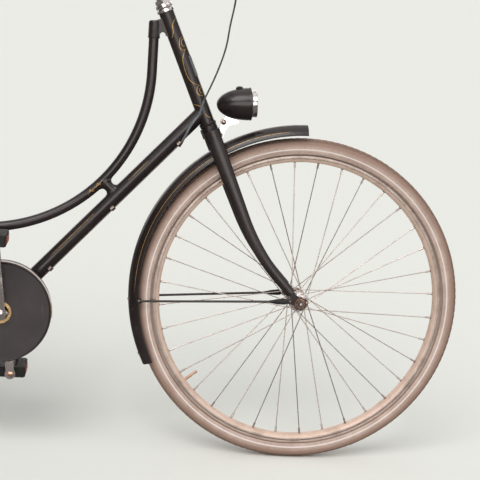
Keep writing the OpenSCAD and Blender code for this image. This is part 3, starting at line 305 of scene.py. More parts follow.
def turned_alloy(name, axle):
    """Rolled rim: painted shade of dull brown on the lip beside the tyre, grey metal with rain marks on its side, a
    dusty tan bed.
    """
    f = Finish(name)
    radius, side = f.about(axle)[:2]
    lines = (radius * 7 + side * 5).math("SINE") * 0.5 + 0.5
    rain = f.noise(30, 6).rise(0.4, 0.75)
    grime = f.noise(120, 4).rise(0.55, 0.8)
    bed = 1 - radius.rise(RIM_BED_R + 6.5, RIM_BED_R + 8.5)
    lip = radius.rise(RIM_SEAT_R - 6, RIM_SEAT_R - 1)
    tone = f.mix(rain, (0.54, 0.455, 0.405), (0.42, 0.345, 0.3))
    # painted shade: the lip under the tyre's bulge is darkened to dull brown; the grime below is heavier there too
    tone = f.mix(lip * 0.85, tone, (0.3, 0.228, 0.19))
    tone = f.mix(bed, tone, f.mix(rain, (0.78, 0.58, 0.47), (0.64, 0.465, 0.37)))
    return f.set(Base_Color=f.mix(grime * (0.25 + 0.35 * lip), tone, (0.2, 0.14, 0.11)),
                 Roughness=0.46 + 0.1 * lines + 0.14 * rain, Metallic=1 - 0.8 * bed,
                 Normal=f.bump(lines, 0.00002))


def dusty_tyre(name, axle):
    """Old brown-pink rubber: dusty sidewall, a pale line round it, a darker tread with road dirt, and painted shade
    at its foot beside the rim.
    """
    f = Finish(name, Specular_IOR_Level=0.25)
    radius, side = f.about(axle)[:2]
    round_section = side.math("ABSOLUTE").math("ARCTAN2", radius - (WHEEL_R - TYRE_R)) * (180 / math.pi)
    tread = 1 - round_section.rise(46, 56)
    line = round_section.band(104, 3.4, 1.4)
    patches = f.noise(24, 5).rise(0.35, 0.7)
    dirt = f.noise(190, 5).rise(0.48, 0.74) * (0.3 + 0.7 * tread)
    streaks = f.noise(150, 4, f.stretched(LEFT, 0.3)).rise(0.5, 0.75)
    rubber = f.mix(patches, (0.5, 0.365, 0.308), (0.63, 0.48, 0.415))
    rubber = f.mix(0.9 - 0.9 * round_section.rise(60, 108), rubber, (0.3, 0.19, 0.145))
    rubber = f.mix(tread * (0.35 + 0.45 * streaks), rubber, (0.27, 0.175, 0.135))
    rubber = f.mix(dirt * 0.8, rubber, (0.2, 0.13, 0.1))
    # painted shade: the tyre's foot, tucked under its bulge next to the rim, is darkened
    rubber = f.mix(round_section.rise(126, 140) * 0.6, rubber, (0.24, 0.165, 0.135))
    return f.set(Base_Color=f.mix(line * 0.85, rubber, (0.86, 0.77, 0.725)),
                 Roughness=0.72 + 0.14 * patches - 0.2 * line,
                 Normal=f.bump(f.noise(700, 4) + 0.4 * streaks, 0.00022))


def rubber(name, tone, pale):
    """Moulded rubber with a bloom where it is handled."""
    f = Finish(name, Specular_IOR_Level=0.35)
    bloom = f.noise(45, 5).rise(0.4, 0.75)
    return f.set(Base_Color=f.mix(bloom, tone, pale), Roughness=0.55 + 0.2 * bloom,
                 Normal=f.bump(f.noise(1200, 3), 0.0001))


def saddle_hide():
    """Grained black-brown saddle cover, shiny where it is sat on."""
    f = Finish("saddle_hide", Specular_IOR_Level=0.45)
    cells = f.node("ShaderNodeTexVoronoi", {"feature": "DISTANCE_TO_EDGE"}, {"Vector": f.spot, "Scale": 520.0})
    worn = f.noise(16, 5).rise(0.4, 0.7)
    tone = f.mix(worn, (0.02, 0.0165, 0.015), (0.042, 0.034, 0.03))
    return f.set(Base_Color=f.mix(1 - cells.rise(0, 0.12), tone, (0.01, 0.008, 0.007)),
                 Roughness=0.56 - 0.18 * worn, Normal=f.bump(cells.rise(0, 0.2) + 0.2 * f.noise(90, 3), 0.00025))


def clear_glass():
    """Lamp glass with faint moulding ripples."""
    f = Finish("lamp_glass", Base_Color=(0.96, 0.98, 0.98), Transmission_Weight=1.0, IOR=1.5)
    ripple = f.noise(70, 2)
    return f.set(Roughness=0.02 + 0.05 * ripple, Normal=f.bump(ripple, 0.0002))


def lens(name, tone, deep):
    """Moulded reflector plastic, lit from within by its many small prisms."""
    f = Finish(name, Specular_IOR_Level=0.6, Coat_Weight=0.4, Coat_Roughness=0.05)
    prisms = f.node("ShaderNodeTexVoronoi", {"feature": "DISTANCE_TO_EDGE"}, {"Vector": f.spot, "Scale": 330.0})
    facet = prisms.rise(0, 0.3)
    return f.set(Base_Color=f.mix(facet, deep, tone), Roughness=0.15 + 0.15 * f.noise(60, 3),
                 Normal=f.bump(facet, 0.0006))


def painted_line(name, tone, shade):
    """Hand-drawn enamel line, a little thin in places."""
    f = Finish(name, Metallic=0.35, Specular_IOR_Level=0.5)
    thin = f.noise(160, 4).rise(0.45, 0.75)
    return f.set(Base_Color=f.mix(thin, tone, shade), Roughness=0.36 + 0.2 * thin,
                 Normal=f.bump(f.noise(1500, 2), 0.00003))


def trim_strip():
    """Ivory strip round the chain case, with the bare brass of its lower end."""
    f = Finish("trim_strip", Specular_IOR_Level=0.5)
    radius, side, angle = f.about(CRANK)
    brass = 1 - angle.rise(11, 14)
    yellowed = f.noise(40, 4).rise(0.35, 0.7)
    ivory = f.mix(yellowed, (0.82, 0.72, 0.67), (0.7, 0.58, 0.52))
    return f.set(Base_Color=f.mix(brass * radius.rise(100, 104), ivory, (0.5, 0.34, 0.11)),
                 Metallic=brass * 0.9, Roughness=0.32 + 0.2 * yellowed,
                 Normal=f.bump(f.noise(800, 2), 0.00004))


ENAMEL = black_enamel()
CASE = charcoal_case()
CHROME = plated("chrome", (0.82, 0.79, 0.77), (0.6, 0.55, 0.52), 0.07, 0.2)
ZINC = plated("zinc", (0.42, 0.355, 0.315), (0.25, 0.2, 0.17), 0.3, 0.46, 44)
DARK_STEEL = plated("dark_steel", (0.2, 0.17, 0.155), (0.1, 0.08, 0.07), 0.35, 0.5, 60)
SPOKE = plated("spoke_wire", (0.62, 0.545, 0.5), (0.44, 0.385, 0.345), 0.24, 0.42, 34)
BRASS = plated("brass", (0.7, 0.5, 0.24), (0.46, 0.3, 0.13), 0.24, 0.42, 50)
COPPER = plated("copper", (0.68, 0.42, 0.28), (0.5, 0.28, 0.17), 0.26, 0.45, 50)
RUST = plated("rusty_steel", (0.34, 0.2, 0.125), (0.16, 0.08, 0.045), 0.42, 0.62, 130)
RIM = {"front": turned_alloy("front_rim_alloy", FRONT), "rear": turned_alloy("rear_rim_alloy", REAR)}
TYRE = {"front": dusty_tyre("front_tyre_rubber", FRONT), "rear": dusty_tyre("rear_tyre_rubber", REAR)}
BLACK_RUBBER = rubber("black_rubber", (0.012, 0.011, 0.011), (0.034, 0.031, 0.03))
SLEEVE = rubber("cable_sleeve", (0.062, 0.058, 0.057), (0.11, 0.103, 0.1))
GREY_SLEEVE = rubber("grey_sleeve", (0.13, 0.14, 0.155), (0.21, 0.22, 0.235))
VINYL = rubber("coat_vinyl", (0.014, 0.0125, 0.012), (0.03, 0.027, 0.026))
HIDE = saddle_hide()
GLASS = clear_glass()
RED = lens("red_lens", (0.5, 0.012, 0.012), (0.2, 0.004, 0.004))
AMBER = lens("amber_lens", (0.7, 0.13, 0.01), (0.38, 0.05, 0.004))
GOLD = painted_line("gold_line", (0.55, 0.33, 0.1), (0.34, 0.19, 0.055))
GREY_BADGE = rubber("badge_grey", (0.14, 0.15, 0.155), (0.22, 0.23, 0.235))
TRIM = trim_strip()

NODE_FINISH = (
    (ENAMEL, "head_tube swan_tube down_tube tube_brace seat_tube crank_shell chain_stays seat_stays rear_mudguard"
             " rear_guard_stays rack rack_legs fork_crown fork_blades fork_ends lamp_shell front_mudguard"
             " front_guard_stays"),
    (CASE, "chain_case"), (TRIM, "case_trim"), (BRASS, "case_ring"), (VINYL, "coat_guards"),
    (CHROME, "headset_cups headset_nut seat_post saddle_rails saddle_springs stem handlebar brake_lever bell"
             " lamp_ring_front lamp_bracket cranks front_hub rear_hub"),
    (ZINC, "rear_plates rear_brake stand_bracket stand_leg"), (DARK_STEEL, "rear_axle front_axle"),
    (SPOKE, "front_spokes rear_spokes"), (RIM["front"], "front_rim"), (RIM["rear"], "rear_rim"),
    (TYRE["front"], "front_tyre"), (TYRE["rear"], "rear_tyre"), (SLEEVE, "brake_cable cable_loop"),
    (BLACK_RUBBER, "grips pedal_left pedal_right"), (HIDE, "saddle"), (RED, "rear_lamp"), (GLASS, "lamp_lens"))
SLOTS = {
    ENAMEL: "black_paint", CHROME: "chrome", ZINC: "zinc_steel", RUST: "zinc_steel", GREY_BADGE: "zinc_steel",
    SPOKE: "spoke_steel", BRASS: "brass", COPPER: "brass", GOLD: "brass", BLACK_RUBBER: "grip_rubber",
    VINYL: "coat_guard", HIDE: "saddle_cover", GLASS: "lamp_glass", RED: "red_lens", AMBER: "red_lens",
    SLEEVE: "cable_sleeve", GREY_SLEEVE: "cable_sleeve", DARK_STEEL: "cable_sleeve",
    **{rim: "wheel_alloy" for rim in RIM.values()}, **{tyre: "tyre_rubber" for tyre in TYRE.values()}}
for finish, names in NODE_FINISH:
    for name in names.split():
        slots = frame["nodes"][name].data.materials
        slots.clear()
        slots.append(finish)


# Shapes: (points, faces) in the bicycle's own frame

def skin(rows, columns, loop, close=True):
    """Faces over rows of points; loop joins the last row to the first, close joins each row's ends."""
    across = columns if close else columns - 1
    faces = [(r * columns + c, r * columns + (c + 1) % columns,
              (r + 1) % rows * columns + (c + 1) % columns, (r + 1) % rows * columns + c)
             for r in range(rows if loop else rows - 1) for c in range(across)]
    if not loop and close:
        faces += [tuple(range(columns)), tuple(range((rows - 1) * columns, rows * columns))]
    return faces


def sweep(path, outline, normal, sizes=None, loop=False):
    """Outline carried along a path: its first number runs across the path, its second along the normal."""
    points = []
    last = len(path) - 1
    for i, spot in enumerate(path):
        before = path[i - 1] if i or loop else spot
        after = path[(i + 1) % len(path)] if i < last or loop else spot
        along = (after - before).normalized()
        across = along.cross(normal[i] if isinstance(normal, list) else normal).normalized()
        rise = across.cross(along)
        wide, high = sizes[i] if sizes else (1, 1)
        points += [spot + across * (u * wide) + rise * (v * high) for u, v in outline]
    return points, skin(len(path), len(outline), loop)


def circle(radius, count=16):
    turns = [math.tau * k / count for k in range(count)]
    return [(radius * math.cos(turn), radius * math.sin(turn)) for turn in turns]


def lathe(profile, origin, axis, zero, steps=96, loop=False):
    """Profile of (radius, along) turned about an axis; loop closes the profile on itself."""
    side = axis.cross(zero).normalized()
    points = []
    for k in range(steps):
        turn = math.tau * k / steps
        out = zero * math.cos(turn) + side * math.sin(turn)
        points += [origin + out * r + axis * a for r, a in profile]
    return points, skin(steps, len(profile), True, loop)


def upright_way(turn):
    """Direction in the bicycle's upright plane, in degrees from ahead towards up."""
    return Vector((math.cos(math.radians(turn)), 0, math.sin(math.radians(turn))))


def arc(middle, radius, start, end, count):
    """Points on an arc in the bicycle's upright plane."""
    return [middle + upright_way(start + (end - start) * i / (count - 1)) * radius for i in range(count)]


def smooth(points, parts=6):
    """Points on a smooth line through a short list."""
    line = []
    for i in range(len(points) - 1):
        a, b, c = points[max(i - 1, 0)], points[i], points[i + 1]
        d = points[min(i + 2, len(points) - 1)]
        for k in range(parts):
            u = k / parts
            line.append(0.5 * (2 * b + (c - a) * u + (2 * a - 5 * b + 4 * c - d) * u ** 2
                               + (3 * b - a - 3 * c + d) * u ** 3))
    return line + [points[-1]]


def mirrored(points):
    return [Vector((p.x, -p.y, p.z)) for p in points]


def as_piece(name, mesh, body, finish, slot, replaces, sharp, blend=None):
    """A mesh in the bicycle's own frame as a piece that rides on a body; its slot, or the finish's own when slot is
    None, is looked up but not kept.
    """
    work = bmesh.new()
    work.from_mesh(mesh)
    bmesh.ops.remove_doubles(work, verts=work.verts, dist=0.0004)
    bmesh.ops.dissolve_degenerate(work, edges=work.edges, dist=0.0002)
    bmesh.ops.recalc_face_normals(work, faces=work.faces)
    work.to_mesh(mesh)
    work.free()
    mesh.transform(BIKE)
    mesh.materials.clear()
    mesh.materials.append(finish)
    mesh.shade_smooth()
    mesh.set_sharp_from_angle(angle=math.radians(sharp))
    piece = bpy.data.objects.new(name, mesh)
    bpy.context.collection.objects.link(piece)
    if blend:
        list(blend)
        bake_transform(piece)
    else:
        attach(piece, body)
    slot or SLOTS[finish]
    if replaces:
        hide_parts(*replaces.split())
    return piece


def make(name, body, finish, *shapes, slot=None, replaces=None, sharp=38, blend=None):
    points, faces = [], []
    for shape_points, shape_faces in shapes:
        base = len(points)
        points += shape_points
        faces += [[base + k for k in face] for face in shape_faces]
    mesh = bpy.data.meshes.new(name)
    mesh.from_pydata(points, [], faces)
    return as_piece(name, mesh, body, finish, slot, replaces, sharp, blend)


# Geometry Nodes: pieces that repeat, and pieces that follow a path

class Pattern(Graph):
    """A node tree with named sizes, ending in realized pieces with their finish."""

    def __init__(self, name, **sizes):
        super().__init__(bpy.data.node_groups.new(name, "GeometryNodeTree"))
        kinds = {"Geometry": "NodeSocketGeometry", "Finish": "NodeSocketMaterial", **sizes}
        self.sockets = {n: self.tree.interface.new_socket(n, in_out="INPUT", socket_type=k).identifier
                        for n, k in kinds.items()}
        self.tree.interface.new_socket("Geometry", in_out="OUTPUT", socket_type="NodeSocketGeometry")
        start = self.tree.nodes.new("NodeGroupInput")
        self.given = {n: Value(self, start.outputs[n]) for n in kinds}

    def end(self, shape):
        real = self.node("GeometryNodeRealizeInstances", None, {0: shape})
        set_finish = {"Geometry": real, "Material": self.given["Finish"]}
        painted = self.node("GeometryNodeSetMaterial", None, set_finish)
        self.feed(self.tree.nodes.new("NodeGroupOutput").inputs[0], painted)
        return self

    def grow(self, name, host, finish, place=None, **sizes):
        """The tree's result on a host mesh or curve, as a plain mesh."""
        thing = bpy.data.objects.new(name, host)
        bpy.context.collection.objects.link(thing)
        modifier = thing.modifiers.new("pattern", "NODES")
        modifier.node_group = self.tree
        for size, value in {"Finish": finish, **sizes}.items():
            modifier[self.sockets[size]] = value
        graph = bpy.context.evaluated_depsgraph_get()
        mesh = bpy.data.meshes.new_from_object(thing.evaluated_get(graph))
        thing.modifiers.clear()
        bpy.data.objects.remove(thing)
        if place:
            mesh.transform(place)
        return mesh


def ring_pattern():
    """A piece set at equal angles round an axle along Z."""
    p = Pattern("round_an_axle", Piece="NodeSocketObject", Count="NodeSocketInt", Radius="NodeSocketFloat",
                First="NodeSocketFloat")
    spots = p.node("GeometryNodeMeshCircle", None, {"Vertices": p.given["Count"], "Radius": p.given["Radius"]})
    turn = p.node("GeometryNodeInputIndex") * math.tau / p.given["Count"]
    facing = p.node("ShaderNodeCombineXYZ", None, {"Z": turn})
    piece = p.node("GeometryNodeObjectInfo", None, {"Object": p.given["Piece"]}, "Geometry")
    placing = {"Points": spots, "Instance": piece, "Rotation": facing}
    placed = p.node("GeometryNodeInstanceOnPoints", None, placing)
    first = p.node("ShaderNodeCombineXYZ", None, {"Z": p.given["First"]})
    return p.end(p.node("GeometryNodeTransform", None, {"Geometry": placed, "Rotation": first}))


def places_pattern():
    """A piece on each point of the host, standing along the point's own facing."""
    p = Pattern("on_places", Piece="NodeSocketObject")
    facing = p.node("GeometryNodeInputNamedAttribute", {"data_type": "FLOAT_VECTOR"}, {"Name": "facing"})
    stand = p.node("FunctionNodeAlignRotationToVector", {"axis": "Z"}, {"Vector": facing})
    piece = p.node("GeometryNodeObjectInfo", None, {"Object": p.given["Piece"]}, "Geometry")
    placing = {"Points": p.given["Geometry"], "Instance": piece, "Rotation": stand}
    return p.end(p.node("GeometryNodeInstanceOnPoints", None, placing))


def cord_pattern():
    """A round cord along the host curve."""
    p = Pattern("along_a_path", Radius="NodeSocketFloat", Sides="NodeSocketInt")
    section = p.node("GeometryNodeCurvePrimitiveCircle", None,
                     {"Resolution": p.given["Sides"], "Radius": p.given["Radius"]})
    tube = {"Curve": p.given["Geometry"], "Profile Curve": section, "Fill Caps": True}
    return p.end(p.node("GeometryNodeCurveToMesh", None, tube))


def coil_pattern():
    """A wire coil standing on Z."""
    p = Pattern("coil", Radius="NodeSocketFloat", Height="NodeSocketFloat", Turns="NodeSocketFloat",
                Wire="NodeSocketFloat")
    line = p.node("GeometryNodeCurveSpiral", None,
                  {"Resolution": 28, "Rotations": p.given["Turns"], "Start Radius": p.given["Radius"],
                   "End Radius": p.given["Radius"], "Height": p.given["Height"]})
    section = p.node("GeometryNodeCurvePrimitiveCircle", None, {"Resolution": 12, "Radius": p.given["Wire"]})
    tube = {"Curve": line, "Profile Curve": section, "Fill Caps": True}
    return p.end(p.node("GeometryNodeCurveToMesh", None, tube))


RING, PLACES, CORD, COIL = ring_pattern(), places_pattern(), cord_pattern(), coil_pattern()
NO_MESH = bpy.data.meshes.new("no_host")
CORD_SIDES = 12


def stamp(name, shape):
    """A small piece for a pattern to repeat."""
    mesh = bpy.data.meshes.new(name)
    mesh.from_pydata(shape[0], [], shape[1])
    thing = bpy.data.objects.new(name, mesh)
    bpy.context.collection.objects.link(thing)
    return thing


def put_away(*stamps):
    for thing in stamps:
        bpy.data.objects.remove(thing)


def ring_at(axle, side):
    """Place of a ring about an axle across the bicycle, side to its left."""
    return Matrix.Translation(axle + Y * side) @ Matrix.Rotation(math.pi / 2, 4, "X")


def joined(name, meshes):
    """Several meshes as one."""
    work = bmesh.new()
    for mesh in meshes:
        work.from_mesh(mesh)
        bpy.data.meshes.remove(mesh)
    whole = bpy.data.meshes.new(name)
    work.to_mesh(whole)
    work.free()
    return whole


def rings(name, body, finish, piece, axle, rows, slot=None, sharp=38):
    """Rows of (count, radius, first angle in degrees, side), each a ring of one piece, as one piece."""
    meshes = [RING.grow(name, NO_MESH, finish, ring_at(axle, side), Piece=piece, Count=count, Radius=radius,
                        First=math.radians(first)) for count, radius, first, side in rows]
    return as_piece(name, joined(name, meshes), body, finish, slot, None, sharp)


def set_out(name, body, finish, piece, places, slot=None, sharp=38):
    """One piece at each (spot, facing) place."""
    host = bpy.data.meshes.new(name)
    host.from_pydata([spot for spot, facing in places], [], [])
    facings = host.attributes.new("facing", "FLOAT_VECTOR", "POINT")
    for entry, (spot, facing) in zip(facings.data, places):
        entry.vector = facing
    return as_piece(name, PLACES.grow(name, host, finish, Piece=piece), body, finish, slot, None, sharp)


def cord(name, body, finish, points, radius, slot=None, replaces=None, blend=None):
    """A round cord along a line of points."""
    line = bpy.data.curves.new(name, "CURVE")
    line.dimensions = "3D"
    spline = line.splines.new("POLY")
    spline.points.add(len(points) - 1)
    for entry, spot in zip(spline.points, points):
        entry.co = (*spot, 1)
    mesh = CORD.grow(name, line, finish, Radius=radius, Sides=CORD_SIDES)
    return as_piece(name, mesh, body, finish, slot, replaces, 50, blend)


# Small repeated shapes, standing on Z

def turned(profile, steps=16):
    return lathe(profile, Vector(), Z, X, steps)


RIVET = stamp("rivet", turned([(0, 1.6), (1.4, 1.4), (2.5, 0.7), (3.0, -0.4), (0, -0.4)], 14))


def hexagon_bolt(across, head, washer):
    """Hexagon head with a turned crown, on a washer."""
    flat = across / 2
    head_side = [(0, head), (flat * 0.82, head), (flat, head * 0.86), (flat, 0.8), (0, 0.8)]
    points, faces = turned(head_side, 6)
    more, more_faces = turned([(0, 0.9), (washer, 0.9), (washer, 0), (0, 0)], 20)
    return points + more, faces + [tuple(k + len(points) for k in face) for face in more_faces]


BOLT = stamp("bolt", hexagon_bolt(9.0, 5.0, 6.2))


# Wheels

def tyre_profile():
    """Round section with a ribbed tread, a shoulder, two sidewall lines and its feet in the rim."""
    profile = []
    for step in range(-142, 143, 3):
        turn = math.radians(step)
        out = abs(step)
        thick = TYRE_R
        if out < 48:
            thick -= 0.55 + 0.2 * math.cos(out * math.pi / 6)
        thick += 0.35 * (math.exp(-((out - 51) / 2.2) ** 2) + math.exp(-((out - 104) / 3.0) ** 2))
        thick += 0.2 * math.exp(-((out - 130) / 1.6) ** 2)
        profile.append((WHEEL_R - TYRE_R + thick * math.cos(turn), thick * math.sin(turn)))
    return profile + [(RIM_SEAT_R - 1.4, 9.0), (RIM_SEAT_R - 1.4, -9.0)]


def rim_profile():
    """Rolled rim: turned-over lip, a groove under it, a straight side and a round spoke bed."""
    side = [(322.6, 12.4), (323.6, 13.2), (323.5, 14.6), (322.3, 15.1), (320.2, 14.9), (318.8, 14.0),
            (317.2, 13.8), (316.0, 14.4), (313.2, 14.5), (310.6, 14.1), (308.4, 12.9), (306.4, 10.6),
            (304.6, 7.6), (303.4, 4.2)]
    bed = [(RIM_BED_R + 1.7, 0), (RIM_BED_R + 2.2, 4), (RIM_BED_R + 5.6, 9), (RIM_BED_R + 9, 11.9), (319.4, 11.9)]
    outside = side + [(RIM_BED_R, 0)] + [(r, -y) for r, y in reversed(side)]
    inside = [(r, -y) for r, y in reversed(bed)] + bed[1:]
    return outside + inside


def tread_block():
    """Small oblong block, its length round the wheel (Y), its width across (Z), rising along X."""
    base = [(0, y, z) for y, z in ((-5.2, -1.5), (5.2, -1.5), (6.4, 1.5), (-4.0, 1.5))]
    top = [(TREAD_HIGH, y * 0.84, z * 0.72) for x, y, z in base]
    faces = [(4, 5, 6, 7)] + [(k, (k + 1) % 4, 4 + (k + 1) % 4, 4 + k) for k in range(4)]
    return [Vector(p) for p in base + top], faces


def hub_profile(barrel, flange, half, band):
    """A hub from end to end: barrel with a band round it, flanges with round rims, shoulders and cones."""
    out = [(barrel + band, 0), (barrel + band, 4), (barrel, 4.6), (barrel + 0.4, 14), (barrel + 2.2, FLANGE_Y - 5),
           (flange - 4, FLANGE_Y - 1.3), (flange - 0.4, FLANGE_Y - 1.2), (flange, FLANGE_Y - 0.6),
           (flange, FLANGE_Y + 0.6), (flange - 0.4, FLANGE_Y + 1.2), (flange - 4, FLANGE_Y + 1.3),
           (barrel + 2.5, FLANGE_Y + 3), (barrel + 0.5, FLANGE_Y + 5), (barrel - 0.5, half - 3),
           (barrel - 3, half - 1.6), (min(barrel - 4, 9.0), half - 1.4), (min(barrel - 4, 8.4), half)]
    return [(0, -half)] + [(r, -y) for r, y in reversed(out[1:])] + out + [(0, half)]


VALVE_STEM = [(0, 0), (3.0, 0), (3.0, -12), (2.3, -12.5), (2.3, -14), (3.4, -14), (3.4, -17.5), (2.3, -17.5),
              (2.4, -26), (3.0, -26.5), (3.0, -31), (1.4, -33), (0, -33)]
VALVE_TURN = 219
TREAD_ROWS = [(0, 0), (15, 1.2), (-15, 1.2), (30, 0), (-30, 0), (43, 1.2), (-43, 1.2)]


def make_wheel(end, axle, hub_r, barrel, half, band):
    body = f"{end}_wheel"
    tyre = TYRE[end]
    make(f"{end}_tyre_cover", body, tyre, lathe(tyre_profile(), axle, Y, X, 288, True),
         replaces=f"{end}_tyre", sharp=60)
    foot = TYRE_R - TREAD_HIGH
    rows = [(TREAD_BLOCKS, WHEEL_R - TYRE_R + foot * math.cos(math.radians(lean)), first,
             foot * math.sin(math.radians(lean))) for lean, first in TREAD_ROWS]
    rings(f"{end}_tread", body, tyre, TREAD, axle, rows)
    out = upright_way(VALVE_TURN)
    make(f"{end}_valve", body, COPPER, lathe(VALVE_STEM, axle + out * (RIM_BED_R + 1), out, Y, 20))
    make(f"{end}_rim_band", body, RIM[end], lathe(rim_profile(), axle, Y, X, 288, True),
         replaces=f"{end}_rim", sharp=30)
    eyelets = [(SPOKES // 2, RIM_BED_R - 0.2, 5, 3), (SPOKES // 2, RIM_BED_R - 0.2, 15, -3)]
    rings(f"{end}_rim_eyelets", body, ZINC, EYELET, axle, eyelets)
    hub = lathe(hub_profile(barrel, hub_r + 3.5, half, band), axle, Y, X, 72)
    make(f"{end}_hub_shell", body, CHROME, hub, replaces=f"{end}_hub", sharp=30)
    heads = [(SPOKES // 4, hub_r, 5, FLANGE_Y + 1.2), (SPOKES // 4, hub_r, 25, FLANGE_Y - 2.4),
             (SPOKES // 4, hub_r, 35, -FLANGE_Y - 1.2), (SPOKES // 4, hub_r, 15, -FLANGE_Y + 2.4)]
    rings(f"{end}_spoke_heads", body, SPOKE, HUB_HEAD, axle, heads)


TREAD = stamp("tread_block", tread_block())
EYELET = stamp("eyelet", lathe([(0, -0.9), (2.3, -0.9), (3.3, -0.2), (3.3, 0.6), (0, 0.6)], Vector(), X, Z, 12))
HUB_HEAD = stamp("hub_head", turned([(0, 1.1), (1.3, 0.9), (2.0, 0), (1.3, -0.9), (0, -1.1)], 10))
make_wheel("front", FRONT, 18.0, 12.6, 49.6, 0.9)
make_wheel("rear", REAR, 40.0, 31.0, 40.9, 0.0)


# Fork blades, along the steering axis and then forward in one bend, tapering to the fork ends

FORK_BEND_R, FORK_END_TURN, FORK_END_OFF = 470.0, 134, 30.0
BLADE_SIDE, BLADE_SPREAD = 44.0, 8.0
BLADE_TOP, BLADE_TAPER = (34.0, 21.0), (13.0, 8.0)


def fork_blade():
    """Middle line of the left blade and its half sizes: straight, then one bend, then the fork end's own line."""
    end_way = upright_way(FORK_END_TURN)
    end = FRONT + end_way * FORK_END_OFF
    bend_turn = math.acos(STEER_UP.dot(end_way))
    corner = STEER_FOOT + STEER_UP * ((FRONT - STEER_FOOT).cross(end_way).y / STEER_UP.cross(end_way).y)
    bend_top = corner + STEER_UP * FORK_BEND_R * math.tan(bend_turn / 2)
    middle = bend_top + STEER_AHEAD * FORK_BEND_R
    start = math.degrees(math.atan2((bend_top - middle).z, (bend_top - middle).x))
    top = on_steer(HEAD_LOW - CUP_H - SEAT_GAP - CROWN_H)
    path = [top.lerp(bend_top, i / 12) for i in range(12)]
    path += arc(middle, FORK_BEND_R, start, start + math.degrees(bend_turn), 15) + [end]
    share = [(top.z - p.z) / (top.z - end.z) for p in path]
    path = [p + Y * (BLADE_SIDE + s * BLADE_SPREAD) for p, s in zip(path, share)]
    return path, [[(size - less * s) / 2 for size, less in zip(BLADE_TOP, BLADE_TAPER)] for s in share]


blade_path, blade_sizes = fork_blade()
make("fork_blade_pair", "steering", ENAMEL, sweep(blade_path, circle(1, 40), Y, blade_sizes),
     sweep(mirrored(blade_path), circle(1, 40), Y, blade_sizes), replaces="fork_blades")


# Headlamp

def lamp_lathe(profile, steps=72):
    return lathe(profile, LAMP_AT, LAMP_WAY, Y, steps)


bullet = [(LAMP_R * math.sqrt(1 - (1 - i / 40) ** 2.2), -LAMP_LEN * (1 - i / 40)) for i in range(39)]
switch_foot = LAMP_AT - LAMP_WAY * 26 + Vector((0, 0, LAMP_R - 5))
bowl_edge = [(LAMP_R + 0.5, -2.4), (LAMP_R + 0.6, -0.7), (LAMP_R - 0.4, 0.5), (BEZEL_R + 1.6, 0.9),
             (BEZEL_R, -0.2), (0, -0.2)]
make("lamp_bowl", "steering", ENAMEL, lamp_lathe(bullet + bowl_edge, 96), replaces="lamp_shell")
switch = [(0, 0), (8.5, 0), (8.5, 4.5), (7.6, 5.5), (6.0, 6), (5.4, 7.2), (4.4, 7.8), (0, 8)]
make("lamp_switch", "steering", BLACK_RUBBER, lathe(switch, switch_foot, Z, X, 32))
bezel = [(r + BEZEL_R, a) for r, a in (
    (-5, 0.2), (0.9, 0.2), (1.2, 1.4), (0.6, 2.4), (0, 3.0), (-0.2, 8.8), (0.5, 9.8), (0.6, 11.0), (-0.4, 12.2),
    (-2, 12.4), (-3.6, 11), (-5, 8))]
make("lamp_bezel", "steering", CHROME, lathe(bezel, LAMP_AT, LAMP_WAY, Y, 96, True),
     replaces="lamp_ring_front")
glass_r = BEZEL_R - 4.8
front_face = [(glass_r * i / 24, 10.3 - 2.6 * (i / 24) ** 2 + 0.18 * math.cos(i * math.pi)) for i in range(25)]
back_face = [(glass_r * i / 8, 8.4 - 2.0 * (i / 8) ** 2) for i in range(7, -1, -1)]
make("lamp_glass", "steering", GLASS, lamp_lathe(front_face + [(glass_r, 6.4)] + back_face), replaces="lamp_lens")
bowl = [(glass_r * i / 12, 0.6 + 5.4 * (i / 12) ** 2) for i in range(13)]
make("lamp_reflector", "steering", CHROME, lamp_lathe(bowl + [(glass_r, 5.0), (0, 0.4)]))
bulb = [(0, 0.5), (4.2, 0.5), (4.2, 2.4), (3.4, 2.8), (3.2, 5.2), (2, 6.6), (0, 7)]
make("lamp_bulb", "steering", BRASS, lamp_lathe(bulb, 24))


# Headlamp bracket: a bright plate from the crown up under the bowl, with two bolts

def plate(outline, middle, thick):
    """Flat plate in the wheel's plane with softened rims; its outline is (ahead, up) from middle."""
    half = thick / 2
    rows = [[middle + Vector((x * shrink, y, z * shrink)) for x, z in outline]
            for y, shrink in ((-half, 0.985), (-half + 0.7, 1), (half - 0.7, 1), (half, 0.985))]
    return [p for row in rows for p in row], skin(4, len(outline), False)


BRACKET_AT = LAMP_AT + Vector((-52, 0, -50))
BRACKET = [(-1, 21), (14, 17), (27, 14), (28, 8), (14, 4), (6, 0), (-1, -12), (-4, -25), (-14, -26),
           (-13, -8), (-9, 8)]
BRACKET_THICK = 11
make("lamp_bracket_plate", "steering", CHROME, plate(BRACKET, BRACKET_AT, BRACKET_THICK), replaces="lamp_bracket")


def round_bolt(r, spot, way):
    """Domed bolt head of radius r on its washer."""
    head = [(0, 4.2), (r * 0.6, 3.9), (r * 0.9, 2.9), (r, 1.4), (r * 1.25, 1.2), (r * 1.25, -0.4), (0, -0.4)]
    return lathe(head, spot, way, X, 24)


make("lamp_bracket_bolts", "steering", ZINC, *[
    round_bolt(r, BRACKET_AT + Vector((x, side * (BRACKET_THICK / 2 - 0.1), z)), Y * side)
    for x, z, r in ((-4.6, 8, 5.0), (-8.4, -19, 3.2)) for side in SIDES])


# Mudguards: rolled edges, painted lines and rivets

def guard_spot(middle, radius, turn, around):
    """Place on a mudguard's outside, and its outward direction; around is measured from its crest to the left."""
    out = upright_way(turn)
    facing = out * math.cos(math.radians(around)) + Y * math.sin(math.radians(around))
    return middle + out * (radius - GUARD_HALF) + facing * GUARD_HALF, facing


